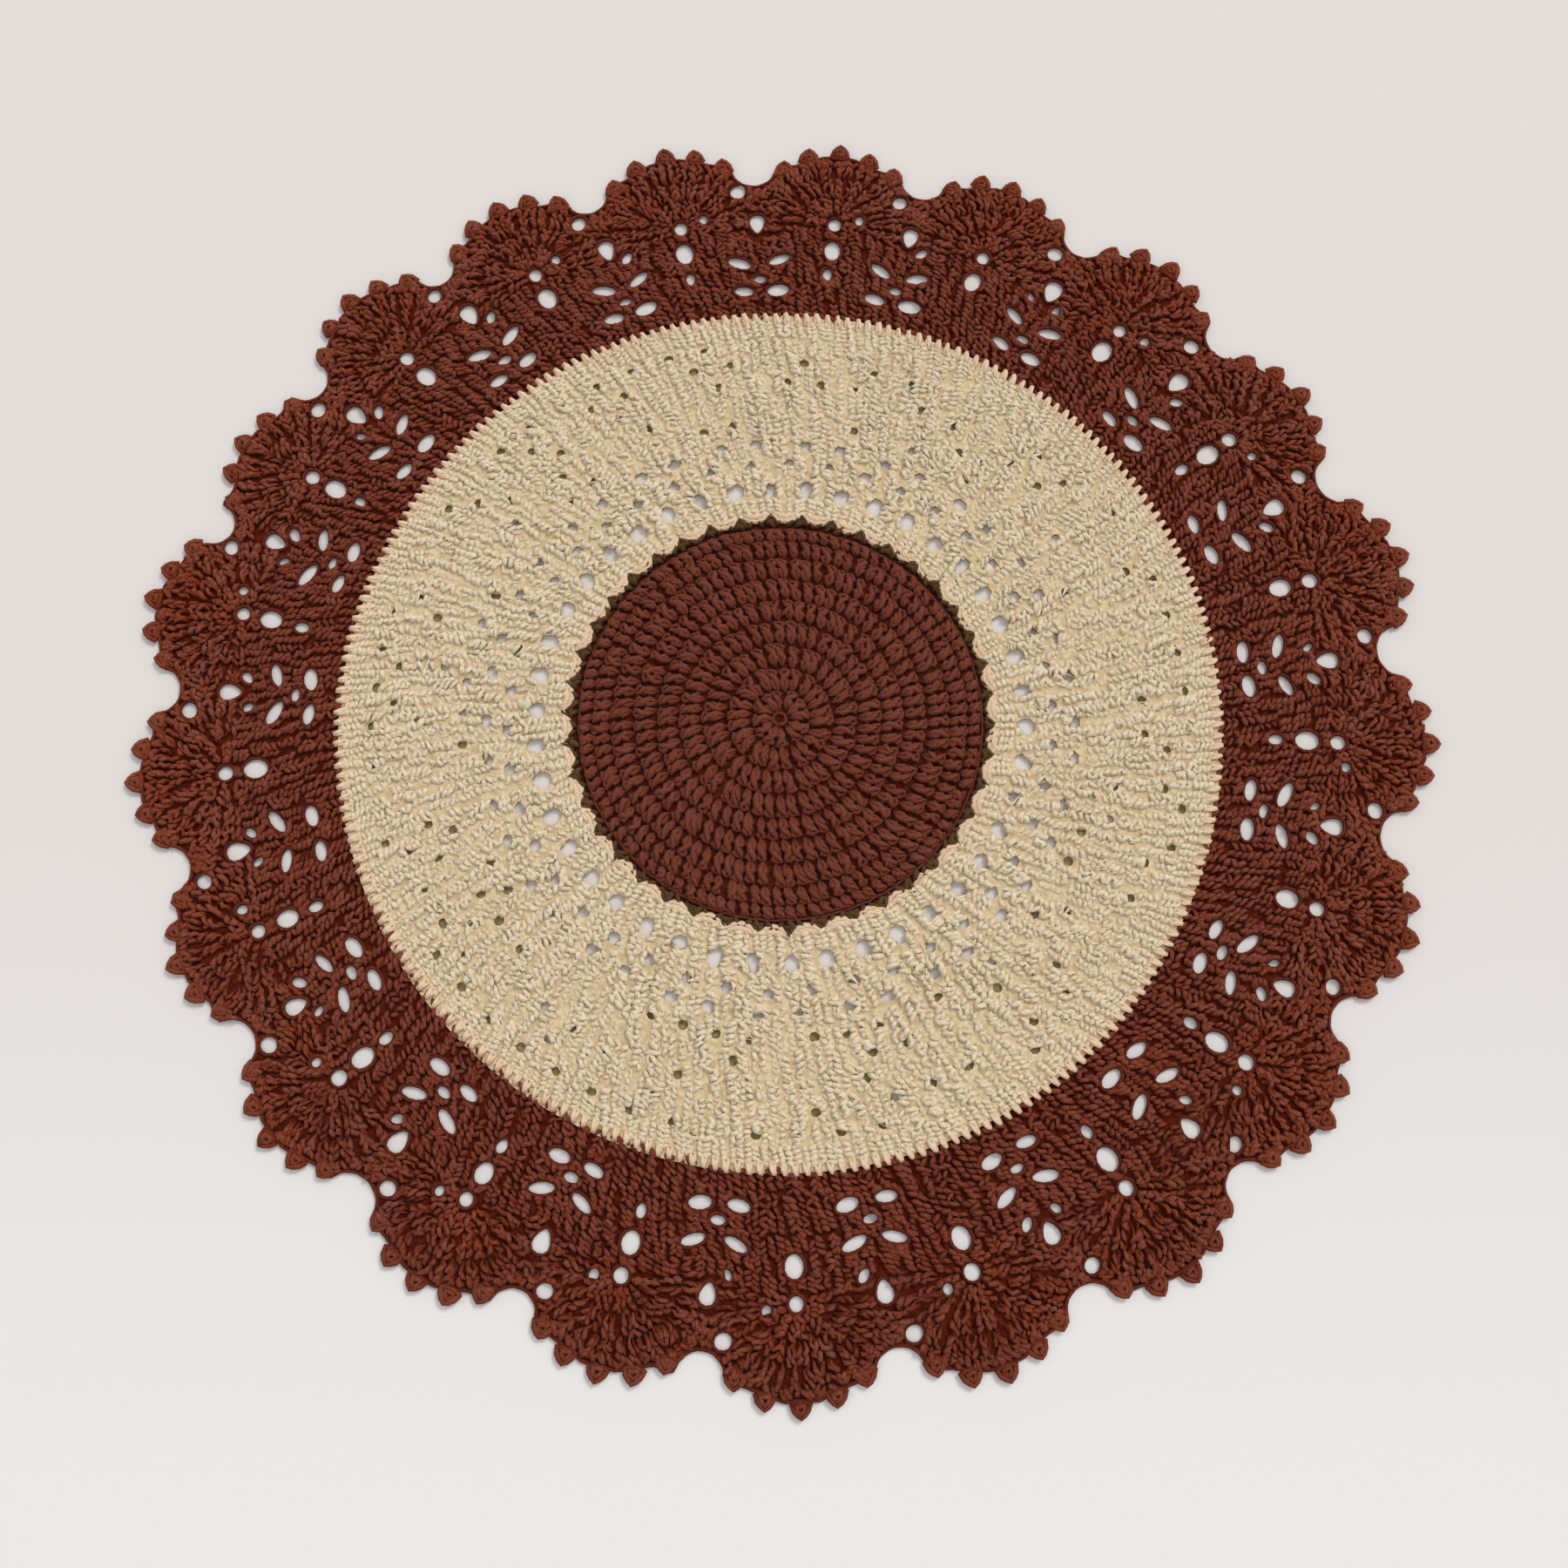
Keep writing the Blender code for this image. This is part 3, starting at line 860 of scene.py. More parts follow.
# %% Stitches round gaps
TABLE_CLEARANCE = 0.05
RIM_SHARE = 0.12
TRIM_STATIONS = 25
LEAN_JITTER = 0.7
# How far the middle of the yarn and the ends of the stitches stay from a gap's edge.
Clearance = namedtuple("Clearance", "yarn_mm stitch_mm")
LACE_GAP, SMALL_LACE_GAP = Clearance(1.3, 0.2), Clearance(1.1, 0.0)
BAND_GAP, SMALL_BAND_GAP = Clearance(-0.6, -1.0), Clearance(0.1, -0.9)
SHORTEST_STITCH = 3.0
GAP_MARGIN = 12.0
# These keep a point at the very middle of a gap from being divided by nothing.
LEAST_ALONG, LEAST_DISTANCE = 1e-6, 1e-3


def gap_distance(points, opening, wider_mm=0.0):
    """How far points are from a gap's middle, where 1 is on its edge."""
    axis = math.radians(opening.turn_deg + opening.lean_deg)
    offset = (points - at(opening.turn_deg, opening.radius_mm)) / MM
    across = offset @ np.array([math.cos(axis), -math.sin(axis)]) / (opening.wide_mm / 2.0 + wider_mm)
    along = offset @ np.array([math.sin(axis), math.cos(axis)]) / (opening.tall_mm / 2.0 + wider_mm)
    if opening.drop:
        angle_sine = along / np.maximum(np.hypot(across, along), LEAST_ALONG)
        across = across / (TEARDROP_SHARE + (1.0 - TEARDROP_SHARE) * angle_sine)
    return np.hypot(across, along)


def near_openings(points, openings):
    """The gaps that are near enough to these points to matter."""
    low, high = points.reshape(-1, 2).min(axis=0), points.reshape(-1, 2).max(axis=0)
    margin = GAP_MARGIN * MM
    middles = np.array([at(o.turn_deg, o.radius_mm) for o in openings]).reshape(-1, 2)
    near = ((middles > low - margin) & (middles < high + margin)).all(axis=1)
    return [o for o, is_near in zip(openings, near) if is_near]


def clearance(opening):
    """The border's gaps are crisp, and fuzzy yarn narrows the band's."""
    if opening.radius_mm > INNER_EDGE_OF_LACE:
        return LACE_GAP if opening.cut else SMALL_LACE_GAP
    return BAND_GAP if opening.cut else SMALL_BAND_GAP


def parted(loops, openings):
    """Pushes yarn out of the gaps: what would lie in a gap follows its edge instead."""
    points = loops.reshape(-1, loops.shape[-1]).copy()
    for opening in near_openings(points[:, :2], openings):
        centre = at(opening.turn_deg, opening.radius_mm)
        reach = (max(opening.wide_mm, opening.tall_mm) / 2.0 + 2.0 * YARN_RADIUS) * MM
        near = np.flatnonzero((np.abs(points[:, :2] - centre) < reach).all(axis=1))
        if not len(near):
            continue
        distance = gap_distance(points[near, :2], opening, clearance(opening).yarn_mm)
        pushed = np.maximum(distance, 1.0 + distance * RIM_SHARE) / np.maximum(distance, LEAST_DISTANCE)
        points[near, :2] = centre + (points[near, :2] - centre) * pushed[:, None]
    return points.reshape(loops.shape)


def longest_run(flags):
    """The first and last place of the longest run of true flags."""
    best, start = (0, -1), None
    for place, flag in enumerate(list(flags) + [False]):
        if flag and start is None:
            start = place
        if not flag and start is not None:
            if place - start > best[1] - best[0] + 1:
                best = (start, place - 1)
            start = None
    return best


def loosened(stitches):
    """Leans each stitch a little, as no two are pulled up alike."""
    width = stitches.head_width / np.linalg.norm(stitches.head_width, axis=1, keepdims=True)
    lean = chance.normal(size=(len(width), 1)) * LEAN_JITTER * MM
    return stitches._replace(head=stitches.head + width * lean)


def trimmed(stitches, openings):
    """Ends each stitch at the gap it would cross, and leaves it out where little would be left."""
    share = np.linspace(0.0, 1.0, TRIM_STATIONS)
    foot, head, foot_width, head_width = (part.copy() for part in stitches)
    line = foot[:, None] + (head - foot)[:, None] * share[None, :, None]
    outside = np.ones(line.shape[:2], bool)
    for opening in near_openings(line, openings):
        outside &= gap_distance(line, opening, clearance(opening).stitch_mm) > 1.0
    for index in np.flatnonzero(~outside.all(axis=1)):
        first, last = longest_run(outside[index])
        if last < first:
            head[index] = foot[index]
            continue
        width = foot_width[index], head_width[index] - foot_width[index]
        foot_width[index] = width[0] + width[1] * share[first]
        head_width[index] = width[0] + width[1] * share[last]
        foot[index], head[index] = line[index, first], line[index, last]
    long_enough = np.linalg.norm(head - foot, axis=1) > SHORTEST_STITCH * MM
    return loosened(kept(Stitches(foot, head, foot_width, head_width), long_enough))


def settled(loops, openings=(), plump=1.0, rough=1.0):
    """Loops as they end up in the finished mat, worked in yarn this much plumper than the usual."""
    done = parted(wandered(jittered(loops, rough)), openings)
    done[..., 3] *= plump
    done[..., 2] = np.maximum(done[..., 2], (done[..., 3] * YARN_RADIUS + TABLE_CLEARANCE) * MM)
    return done


print("yarn stays", LACE_GAP.yarn_mm, "mm from the larger gaps of the border")

# %% [markdown]
# From lines to yarn. A curve object takes every closed line as one spline, and its bevel profile is
# a four-sided ring: round enough when it is shaded smooth, and light enough for thousands of loops.
# The curve is then made a mesh, which gets its UV in millimetres and its tone: a random one for each
# loop, and lighter towards the far side, where the real mat is lighter too.

# %% Yarn from lines
ring = bpy.data.curves.new("yarn section", "CURVE")
ring.dimensions = "2D"
section = ring.splines.new("POLY")
section.points.add(YARN_SIDES - 1)
for number, corner in enumerate(section.points):
    angle = 2.0 * math.pi * number / YARN_SIDES
    corner.co = (math.cos(angle) * YARN_RADIUS * MM, math.sin(angle) * YARN_RADIUS * MM, 0.0, 1.0)
section.use_cyclic_u = True
yarn_section = bpy.data.objects.new("yarn section", ring)

FAN_EYE_RADIUS = 254.0
GLOW_REACH = 17.0
GLOW = 0.22
RIM_GLOW = 0.15
RIM_GLOW_FROM, RIM_GLOW_TO = 260.0, 282.0
NEAR_SIDE, FAR_SIDE = -0.24, -0.08
USUAL_TONE, TONE_SPREAD, TONE_BY_SIDE = 0.5, 0.25, 0.4
eyes = in_border(np.arange(REPEATS), np.full(REPEATS, FAN_EYE_RADIUS))


def near_eye(points):
    """How warm the dye is at these points: most at the eyes of the fans and along the far rim."""
    nearest = np.full(len(points), np.inf)
    for eye in eyes:
        nearest = np.minimum(nearest, np.linalg.norm(points - eye, axis=1) / MM)
    at_rim = np.interp(radius_of(points) / MM, [RIM_GLOW_FROM, RIM_GLOW_TO], [0.0, 1.0])
    on_far_side = np.interp(points[:, 1], [NEAR_SIDE, FAR_SIDE], [0.0, 1.0])
    return GLOW * np.clip(1.0 - nearest / GLOW_REACH, 0.0, 1.0) + RIM_GLOW * at_rim * on_far_side


stitch_pieces = []


def yarn_piece(name, groups, material):
    """One mesh of yarn along all the closed lines in groups, each an array of loops."""
    curve = bpy.data.curves.new(name, "CURVE")
    curve.dimensions = "3D"
    curve.bevel_mode = "OBJECT"
    curve.bevel_object = yarn_section
    lengths, sizes = [], []
    for loops in groups:
        closed = np.concatenate([loops, loops[:, :1]], axis=1)[..., :3]
        lengths.append(np.linalg.norm(np.diff(closed, axis=1), axis=2).sum(axis=1) / MM)
        sizes.append(np.full(len(loops), loops.shape[1]))
        places = np.concatenate([loops[..., :3], np.ones(loops.shape[:2] + (1,))], axis=2)
        for line, thickness in zip(places, loops[..., 3]):
            spline = curve.splines.new("POLY")
            spline.points.add(len(line) - 1)
            spline.points.foreach_set("co", line.ravel())
            spline.points.foreach_set("radius", thickness)
            spline.use_cyclic_u = True
            spline.use_smooth = True
    maker = linked(name, curve)
    bpy.context.scene.collection.objects.link(yarn_section)
    with_yarn = maker.evaluated_get(bpy.context.evaluated_depsgraph_get())
    mesh = bpy.data.meshes.new_from_object(with_yarn)
    bpy.context.scene.collection.objects.unlink(yarn_section)
    bpy.data.objects.remove(maker)
    lengths, sizes = np.concatenate(lengths), np.concatenate(sizes)
    mesh.name = name
    mesh.materials.clear()
    mesh.materials.append(material)

    corners = np.empty(len(mesh.vertices) * 3, np.float32)
    mesh.vertices.foreach_get("co", corners)
    corners = corners.reshape(-1, 3)
    dyed = np.repeat(TONE_SPREAD * chance.normal(size=len(sizes)), sizes * YARN_SIDES)
    faded = TONE_BY_SIDE * np.interp(corners[:, 1], [NEAR_SIDE, FAR_SIDE], [-1.0, 1.0])
    tone = np.clip(USUAL_TONE + dyed + faded, 0.0, 1.0)
    mesh.attributes.new("tone", "FLOAT", "POINT").data.foreach_set("value", tone)
    warmth = near_eye(corners[:, :2])
    mesh.attributes.new("warmth", "FLOAT", "POINT").data.foreach_set("value", warmth)
    uv_map = mesh.uv_layers[0] if mesh.uv_layers else mesh.uv_layers.new()
    uv_map.name = "yarn"
    uv = np.empty(len(mesh.loops) * 2, np.float32)
    uv_map.data.foreach_get("uv", uv)
    uv = uv.reshape(-1, 2)
    print(name, "loops of yarn", len(sizes), "triangles", 2 * len(mesh.polygons))
    whole_plies = np.round(lengths / PLY_SPACING) * PLY_SPACING
    uv[:, 0] *= np.repeat(whole_plies, sizes * YARN_SIDES * 4)
    uv_map.data.foreach_set("uv", uv.ravel())
    mesh.polygons.foreach_set("use_smooth", np.ones(len(mesh.polygons), bool))
    mesh.update()
    piece = linked(name, mesh)
    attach(piece, BODY)
    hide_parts(NODE)
    stitch_pieces.append(piece)
    return piece


# %% [markdown]
# The centre disc. The maker starts with a ring of twelve trebles and adds twelve in every round, so
# it stays flat: round number n holds twelve times n. Each round is one row of a short table.

# %% The disc
Round = namedtuple("Round", "foot_mm head_mm count lean_deg")
DISC_ROUNDS = (
    Round(3.6, 13.0, 12, -5.0),
    Round(13.0, 24.0, 24, -4.0),
    Round(24.0, 35.0, 36, -3.0),
    Round(35.0, 46.0, 48, -2.2),
    Round(46.0, 56.0, 60, -1.8),
    Round(56.0, 66.5, 72, -1.5),
    Round(66.5, 77.0, 84, -1.3),
    Round(77.0, 85.5, 96, -1.1),
    Round(85.5, 91.4, 108, -1.0),
)


def ring_stitches(row, first_deg=0.0):
    """One round of evenly spaced stitches."""
    turn = first_deg + 360.0 * np.arange(row.count) / row.count
    head_turn = turn + row.lean_deg
    pitch = 2.0 * math.pi / row.count

    def width(turn_deg, radius_mm):
        tangent = np.stack([np.cos(np.radians(turn_deg)), -np.sin(np.radians(turn_deg))], axis=-1)
        return tangent * pitch * radius_mm * MM

    return Stitches(at(turn, row.foot_mm), at(head_turn, row.head_mm),
                    width(turn, row.foot_mm), width(head_turn, row.head_mm))


def cord_round(radius_mm, points):
    """One plain strand laid round the middle of the mat."""
    cord = np.full((1, points, 4), 1.0)
    cord[0, :, :2] = at(360.0 * np.arange(points) / points, np.full(points, radius_mm))
    cord[0, :, 2] = FABRIC_MIDDLE * MM
    return cord


CENTRE_RING_RADIUS, CENTRE_RING_POINTS = 2.9, 14
disc_stitches = []
first_deg = 0.0
for number, row in enumerate(DISC_ROUNDS):
    disc_stitches.append(ring_stitches(row, first_deg))
    first_deg += row.lean_deg + 180.0 / row.count
disc_stitches = loosened(joined(disc_stitches))
DISC_PLUMP = 1.15
DISC_MIRRORED = 0.2
DISC_SLIDE, DISC_SPREAD = 0.02, 0.15
yarn_piece("disc_rounds", [
    settled(loops_of(disc_stitches, POST, DISC_MIRRORED, DISC_SLIDE, DISC_SPREAD), plump=DISC_PLUMP),
    settled(loops_of(disc_stitches, POST_WRAP, DISC_MIRRORED, DISC_SLIDE, DISC_SPREAD)),
    settled(cord_round(CENTRE_RING_RADIUS, CENTRE_RING_POINTS)),
], DISC_YARN)

# %% [markdown]
# The cream band. A row of shells lies over the disc's edge, which makes the cream bumps, and between
# two of them a spike of the last dark yarn shows. Then come ten rounds of trebles, most with small
# gaps, and the tips of the last round stand over the brown as a row of teeth. Its stitches are pulled
# up more unevenly than the border's, so they are moved more, and half of them lean the other way.

# %% The band
BAND_TABLE = (
    Round(98.0, 107.0, 168, -0.6),
    Round(107.0, 118.0, 182, -0.6),
    Round(118.0, 129.0, 204, -0.6),
    Round(129.0, 139.5, 228, -0.5),
    Round(139.5, 150.0, 248, -0.5),
    Round(150.0, 160.5, 264, -0.5),
    Round(160.5, 171.0, 284, -0.5),
    Round(171.0, 181.0, 306, -0.5),
    Round(181.0, 190.0, 326, -0.5),
    Round(190.0, 198.6, 340, -0.5),
)
TOOTH_ROUND = Round(190.0, 199.0, 252, -0.5)
BAND_THIRDS = (0, 4, 7, 10)
BAND_MIRRORED = 0.5
ZIGZAG_SHARE = 0.45
BAND_SLIDE, BAND_SPREAD = 0.15, 0.5
BAND_PLUMP = 1.08
BAND_ROUGH = 2.8
FIRST_BAND_ROUGH = 1.1
TOOTH_ROUGH = 0.5
LOBES = 42
LOBE_PLUMP = 1.1
LOBE_ROUGH = 0.6
FIRST_SPIKE_DEG = 5.9
LOBE_RADIUS = 95.4
LOBE_DEPTH = 8.0
DISC_EDGE_ROUND = Round(92.6, 97.6, 126, 0.0)
DISC_CORD_RADIUS = 92.0
DISC_CORD_POINTS = 240
DISC_CORD_PLUMP = 0.6
DISC_EDGE_MIRRORED, DISC_EDGE_SLIDE, DISC_EDGE_SPREAD = 0.5, 0.1, 0.2
# These two are as wide as a share of one lobe, and along is millimetres outwards from LOBE_RADIUS.
LOBE = (
    Bend(-0.45, 0.0, 1.9, 0.9, 5.4),
    Bend(-0.40, 0.0, 2.0, 1.1, 2.9),
    Bend(-0.22, 0.0, 2.1, 1.2, 0.8),
    Bend(0.0, 0.0, 2.15, 1.25, 0.3),
    Bend(0.22, 0.0, 2.1, 1.2, 0.8),
    Bend(0.40, 0.0, 2.0, 1.1, 2.9),
    Bend(0.45, 0.0, 1.9, 0.9, 5.4),
    Bend(0.24, 0.0, 2.05, 1.45, 3.0),
    Bend(0.0, 0.0, 2.1, 1.55, 2.4),
    Bend(-0.24, 0.0, 2.05, 1.45, 3.0),
)
SPIKE = (
    Bend(-0.17, 0.0, 1.8, 1.1, -0.8),
    Bend(-0.08, 0.0, 2.2, 1.1, 1.4),
    Bend(0.0, 0.0, 2.4, 0.8, 3.2),
    Bend(0.08, 0.0, 2.2, 1.1, 1.4),
    Bend(0.17, 0.0, 1.8, 1.1, -0.8),
    Bend(0.0, 0.0, 2.1, 1.3, 0.2),
)

band_groups = []
first_deg = 0.0
for number, row in enumerate(BAND_TABLE):
    stitches = trimmed(ring_stitches(row, first_deg), BAND_OPENINGS)
    at_an_edge = number in (0, len(BAND_TABLE) - 1)
    band_groups.append([])
    slide = 0.0 if at_an_edge else BAND_SLIDE
    rough = FIRST_BAND_ROUGH if at_an_edge else BAND_ROUGH
    for loops in mixed_loops(stitches, (BAND_WRAPS, BAND_ZIGZAG), ZIGZAG_SHARE,
                             mirrored=BAND_MIRRORED, slide=slide, spread=BAND_SPREAD):
        band_groups[-1].append(settled(loops, BAND_OPENINGS, BAND_PLUMP, rough))
    first_deg += row.lean_deg + 180.0 / row.count
teeth = settled(loops_of(ring_stitches(TOOTH_ROUND), TOOTH), rough=TOOTH_ROUGH)
for name, first, last in zip(("inner", "middle", "outer"), BAND_THIRDS, BAND_THIRDS[1:]):
    yarn_piece("band_" + name + "_rounds", sum(band_groups[first:last], []), BAND_YARN)
edge_round = Round(LOBE_RADIUS, LOBE_RADIUS + LOBE_DEPTH, LOBES, 0.0)
lobes = ring_stitches(edge_round, FIRST_SPIKE_DEG + 180.0 / LOBES)
spikes = ring_stitches(edge_round, FIRST_SPIKE_DEG)
yarn_piece("band_lobes_and_teeth", [
    settled(loops_of(lobes, LOBE), plump=LOBE_PLUMP, rough=LOBE_ROUGH),
    teeth,
], LOBE_YARN)
edge_wraps = ring_stitches(DISC_EDGE_ROUND)
disc_cord = cord_round(DISC_CORD_RADIUS, DISC_CORD_POINTS)
yarn_piece("disc_edge_cord", [settled(disc_cord, plump=DISC_CORD_PLUMP)], DISC_YARN)
yarn_piece("disc_edge_and_spikes", [
    settled(loops_of(edge_wraps, EDGE_WRAP, DISC_EDGE_MIRRORED, DISC_EDGE_SLIDE, DISC_EDGE_SPREAD)),
    settled(loops_of(spikes, SPIKE), plump=LOBE_PLUMP),
], SPIKE_YARN)

# %% [markdown]
# The border's first rounds. They start as plain circles on the cream edge and dip more and more
# between the scallops, which is how the fans begin. A round's place is a usual radius less a dip that
# is deepest at the valleys.

# %% The border's rounds
BorderRound = namedtuple("BorderRound", "foot_mm head_mm foot_dip_mm head_dip_mm count lean_mm")
BORDER_ROUNDS = (
    BorderRound(200.8, 210.0, 0.0, 0.4, 357, -1.6),
    BorderRound(210.0, 219.0, 0.4, 1.6, 378, -1.6),
    BorderRound(219.0, 227.5, 1.6, 3.0, 378, -1.4),
    BorderRound(227.5, 235.5, 3.0, 4.6, 399, -1.2),
    BorderRound(235.5, 243.0, 4.6, 5.4, 399, -1.0),
    BorderRound(243.0, 250.0, 5.4, 6.0, 399, -0.8),
)
DIP_HALF_WIDTH = 0.36
BORDER_PLUMP = 0.92
LACE_ZIGZAG_SHARE = 0.2
BORDER_MIRRORED, BORDER_SLIDE, BORDER_SPREAD = 0.12, 0.15, 0.3
BORDER_ROUGH = 2.0
# Where each round starts, in stitches: every second one half a stitch on, and all of them creep back.
BORDER_STAGGER, BORDER_CREEP = 0.5, 0.2
FIRST_BORDER_ROUNDS = 3


def dipped(repeat, radius_mm, dip_mm):
    """The border's place on a round that dips by this much at the valleys."""
    from_valley = np.abs((repeat % 1.0) - 0.5)
    share = np.cos(np.clip(from_valley / DIP_HALF_WIDTH, 0.0, 1.0) * math.pi / 2.0) ** 2
    return in_border(repeat, radius_mm - dip_mm * share)


def border_stitches(row, first):
    """One round of the border. Lean is how far the heads are moved along the round."""
    step = REPEATS / row.count
    repeat = (first + np.arange(row.count)) * step
    lean = row.lean_mm * REPEATS / (2.0 * math.pi * row.head_mm)

    def width(places, radius_mm, dip_mm):
        return (dipped(places + step / 2.0, radius_mm, dip_mm)
                - dipped(places - step / 2.0, radius_mm, dip_mm))

    return Stitches(dipped(repeat, row.foot_mm, row.foot_dip_mm),
                    dipped(repeat + lean, row.head_mm, row.head_dip_mm),
                    width(repeat, row.foot_mm, row.foot_dip_mm),
                    width(repeat + lean, row.head_mm, row.head_dip_mm))


border_groups = []
for number, row in enumerate(BORDER_ROUNDS):
    stitches = border_stitches(row, BORDER_STAGGER * (number % 2) - BORDER_CREEP * number)
    stitches = trimmed(stitches, LACE_OPENINGS)
    border_groups.append([
        settled(loops, LACE_OPENINGS, BORDER_PLUMP, BORDER_ROUGH)
        for loops in mixed_loops(stitches, (LACE_WRAPS, LACE_ZIGZAG), LACE_ZIGZAG_SHARE,
                                 mirrored=BORDER_MIRRORED, slide=BORDER_SLIDE, spread=BORDER_SPREAD)])
yarn_piece("border_first_rounds", sum(border_groups[:FIRST_BORDER_ROUNDS], []), BORDER_YARN)
yarn_piece("border_dipping_rounds", sum(border_groups[FIRST_BORDER_ROUNDS:], []), BORDER_YARN)

# %% [markdown]
# How far the fans may reach. Their stitches run out to the edge, whose line wanders with every
# scallop, so the line is kept as radii by turn, once for the edging and once for the edge's cord. A
# stitch stops at the first, and yarn that still gets past the second is pulled back to it.

# %% Staying inside the edge
EDGING_DEPTH = 2.4
CORD_INSET = 1.3
ROOM_STEP = 0.5


def room_to_edge(points, directions, most):
    """How far each point can go in its direction before it meets the edge, up to most."""
    steps = np.arange(0.0, most + ROOM_STEP / 2.0, ROOM_STEP)
    travelled = points[:, None] + directions[:, None] * (steps * MM)[None, :, None]
    inside = inside_edge(travelled.reshape(-1, 2)).reshape(len(points), len(steps))
    first_out = np.where(inside.all(axis=1), len(steps), np.argmin(inside, axis=1))
    return np.maximum(first_out - 1, 0) * ROOM_STEP


def edge_radii(inset_mm):
    """The edge's line this far inwards, as turns in rising order and their radii in metres."""
    line = inset_line(EDGE, inset_mm * MM)
    turns = turn_of(line) % 360.0
    order = np.argsort(turns)
    return turns[order], radius_of(line)[order]


INNER_LIMIT = edge_radii(EDGING_DEPTH)
CORD_LIMIT = edge_radii(CORD_INSET)


def limit_at(points, limit):
    """The limit's radius at the turn of each point."""
    return np.interp(turn_of(points) % 360.0, *limit, period=360.0)


def inside_edge(points):
    """Whether points are within the edging, going by radius."""
    return radius_of(points) < limit_at(points, INNER_LIMIT)


def held_in(loops):
    """Pulls back any yarn that got past the edge's cord."""
    held = loops.copy()
    held[..., :2] *= np.minimum(1.0, limit_at(loops, CORD_LIMIT) / radius_of(loops))[..., None]
    return held


print("the cord's radius is", (CORD_LIMIT[1].min() / MM).round(1), "to",
      (CORD_LIMIT[1].max() / MM).round(1), "mm")

# %% [markdown]
# The fans. Every scallop is a fan of trebles round its own eye, so its rounds are arcs about that
# point and the stitches stand out from it like rays. A stitch belongs to the fan whose eye is
# nearest, and only above the border's last whole round.

# %% The fans
FanRound = namedtuple("FanRound", "foot_mm head_mm count dots")
FAN_ROUNDS = (
    FanRound(5.2, 15.5, 23, False),
    FanRound(15.5, 25.0, 34, True),
    FanRound(25.0, 34.5, 52, True),
    FanRound(34.5, 46.0, 70, False),
)
FAN_HALF_TURN = 128.0
FAN_SHORTEST = 3.5
FAN_OVERLAP = 2.5
FAN_MIRRORED = 0.4
FAN_PLUMP = 0.92
FAN_ZIGZAG_SHARE = 0.5
FAN_ROUGH = 2.4
# The first stitch of a fan's round stands this share of a stitch on, so that rounds alternate.
FIRST_RAYS = (0.25, 0.75)

last_round = BORDER_ROUNDS[-1]
fan_groups = []
for number in range(REPEATS):
    outwards = AXES[number]
    others = np.delete(eyes, number, axis=0)
    for row_number, row in enumerate(FAN_ROUNDS):
        ray_step = 2.0 * FAN_HALF_TURN / row.count
        ray = outwards - FAN_HALF_TURN + ray_step * (np.arange(row.count) + FIRST_RAYS[row_number % 2])
        direction = np.stack([np.sin(np.radians(ray)), np.cos(np.radians(ray))], axis=-1)
        tangent = np.stack([direction[:, 1], -direction[:, 0]], axis=-1)
        foot = eyes[number] + direction * row.foot_mm * MM
        room = room_to_edge(foot, direction, row.head_mm - row.foot_mm)
        head = foot + direction * (room * MM)[:, None]
        middle = (foot + head) / 2.0
        to_own = np.linalg.norm(middle - eyes[number], axis=1)
        to_others = np.linalg.norm(middle[:, None] - others[None], axis=2).min(axis=1)
        repeat = number + ((turn_of(middle) - outwards + 180.0) % 360.0 - 180.0) / 360.0 * REPEATS
        border_top = dipped(repeat, last_round.head_mm, last_round.head_dip_mm)
        above = radius_of(middle) > radius_of(border_top)
        good = (room >= FAN_SHORTEST) & (to_own <= to_others + FAN_OVERLAP * MM) & above
        pitch = math.radians(ray_step) * MM
        stitches = Stitches(foot, head, tangent * row.foot_mm * pitch,
                            tangent * (row.foot_mm + room)[:, None] * pitch)
        stitches = trimmed(kept(stitches, good), LACE_OPENINGS)
        if row.dots:
            patterns, slide = (DOTTED_WRAPS, DOTTED_WRAPS), 0.0
        else:
            patterns, slide = (LACE_WRAPS, LACE_ZIGZAG), BORDER_SLIDE
        for loops in mixed_loops(stitches, patterns, FAN_ZIGZAG_SHARE,
                                 mirrored=FAN_MIRRORED, slide=slide, spread=BORDER_SPREAD):
            fan_groups.append(held_in(settled(loops, LACE_OPENINGS, FAN_PLUMP, FAN_ROUGH)))
half = len(fan_groups) // 2
yarn_piece("fans_first_half", fan_groups[:half], FAN_YARN)
yarn_piece("fans_second_half", fan_groups[half:], FAN_YARN)

# %% [markdown]
# The edging. One round of short stitches follows the whole scalloped line, and a cord, the edge of
# its last chain, lies outside them. At each of the five points of a scallop stands a picot: a small
# pointed ring of chain, pulled tight over a second one, so that no hole is left in it.

# %% The edging and its points
EDGING_PITCH = 3.6
EDGING_FOOT, EDGING_HEAD = 6.0, 2.2
EDGING_MIRRORED, EDGING_SLIDE, EDGING_SPREAD = 0.3, 0.05, 0.15
edge_feet = walked(EDGE, EDGING_PITCH * MM)
along = np.roll(edge_feet, -1, axis=0) - np.roll(edge_feet, 1, axis=0)
along /= np.linalg.norm(along, axis=1)[:, None]
inwards = np.stack([along[:, 1], -along[:, 0]], axis=-1)
width = along * EDGING_PITCH * MM
edging = Stitches(edge_feet + inwards * EDGING_FOOT * MM, edge_feet + inwards * EDGING_HEAD * MM,
                  width, width)
edging = trimmed(edging, LACE_OPENINGS)
edging_loops = loops_of(edging, EDGE_WRAP, EDGING_MIRRORED, EDGING_SLIDE, EDGING_SPREAD)
edge_groups = [held_in(settled(edging_loops, LACE_OPENINGS))]

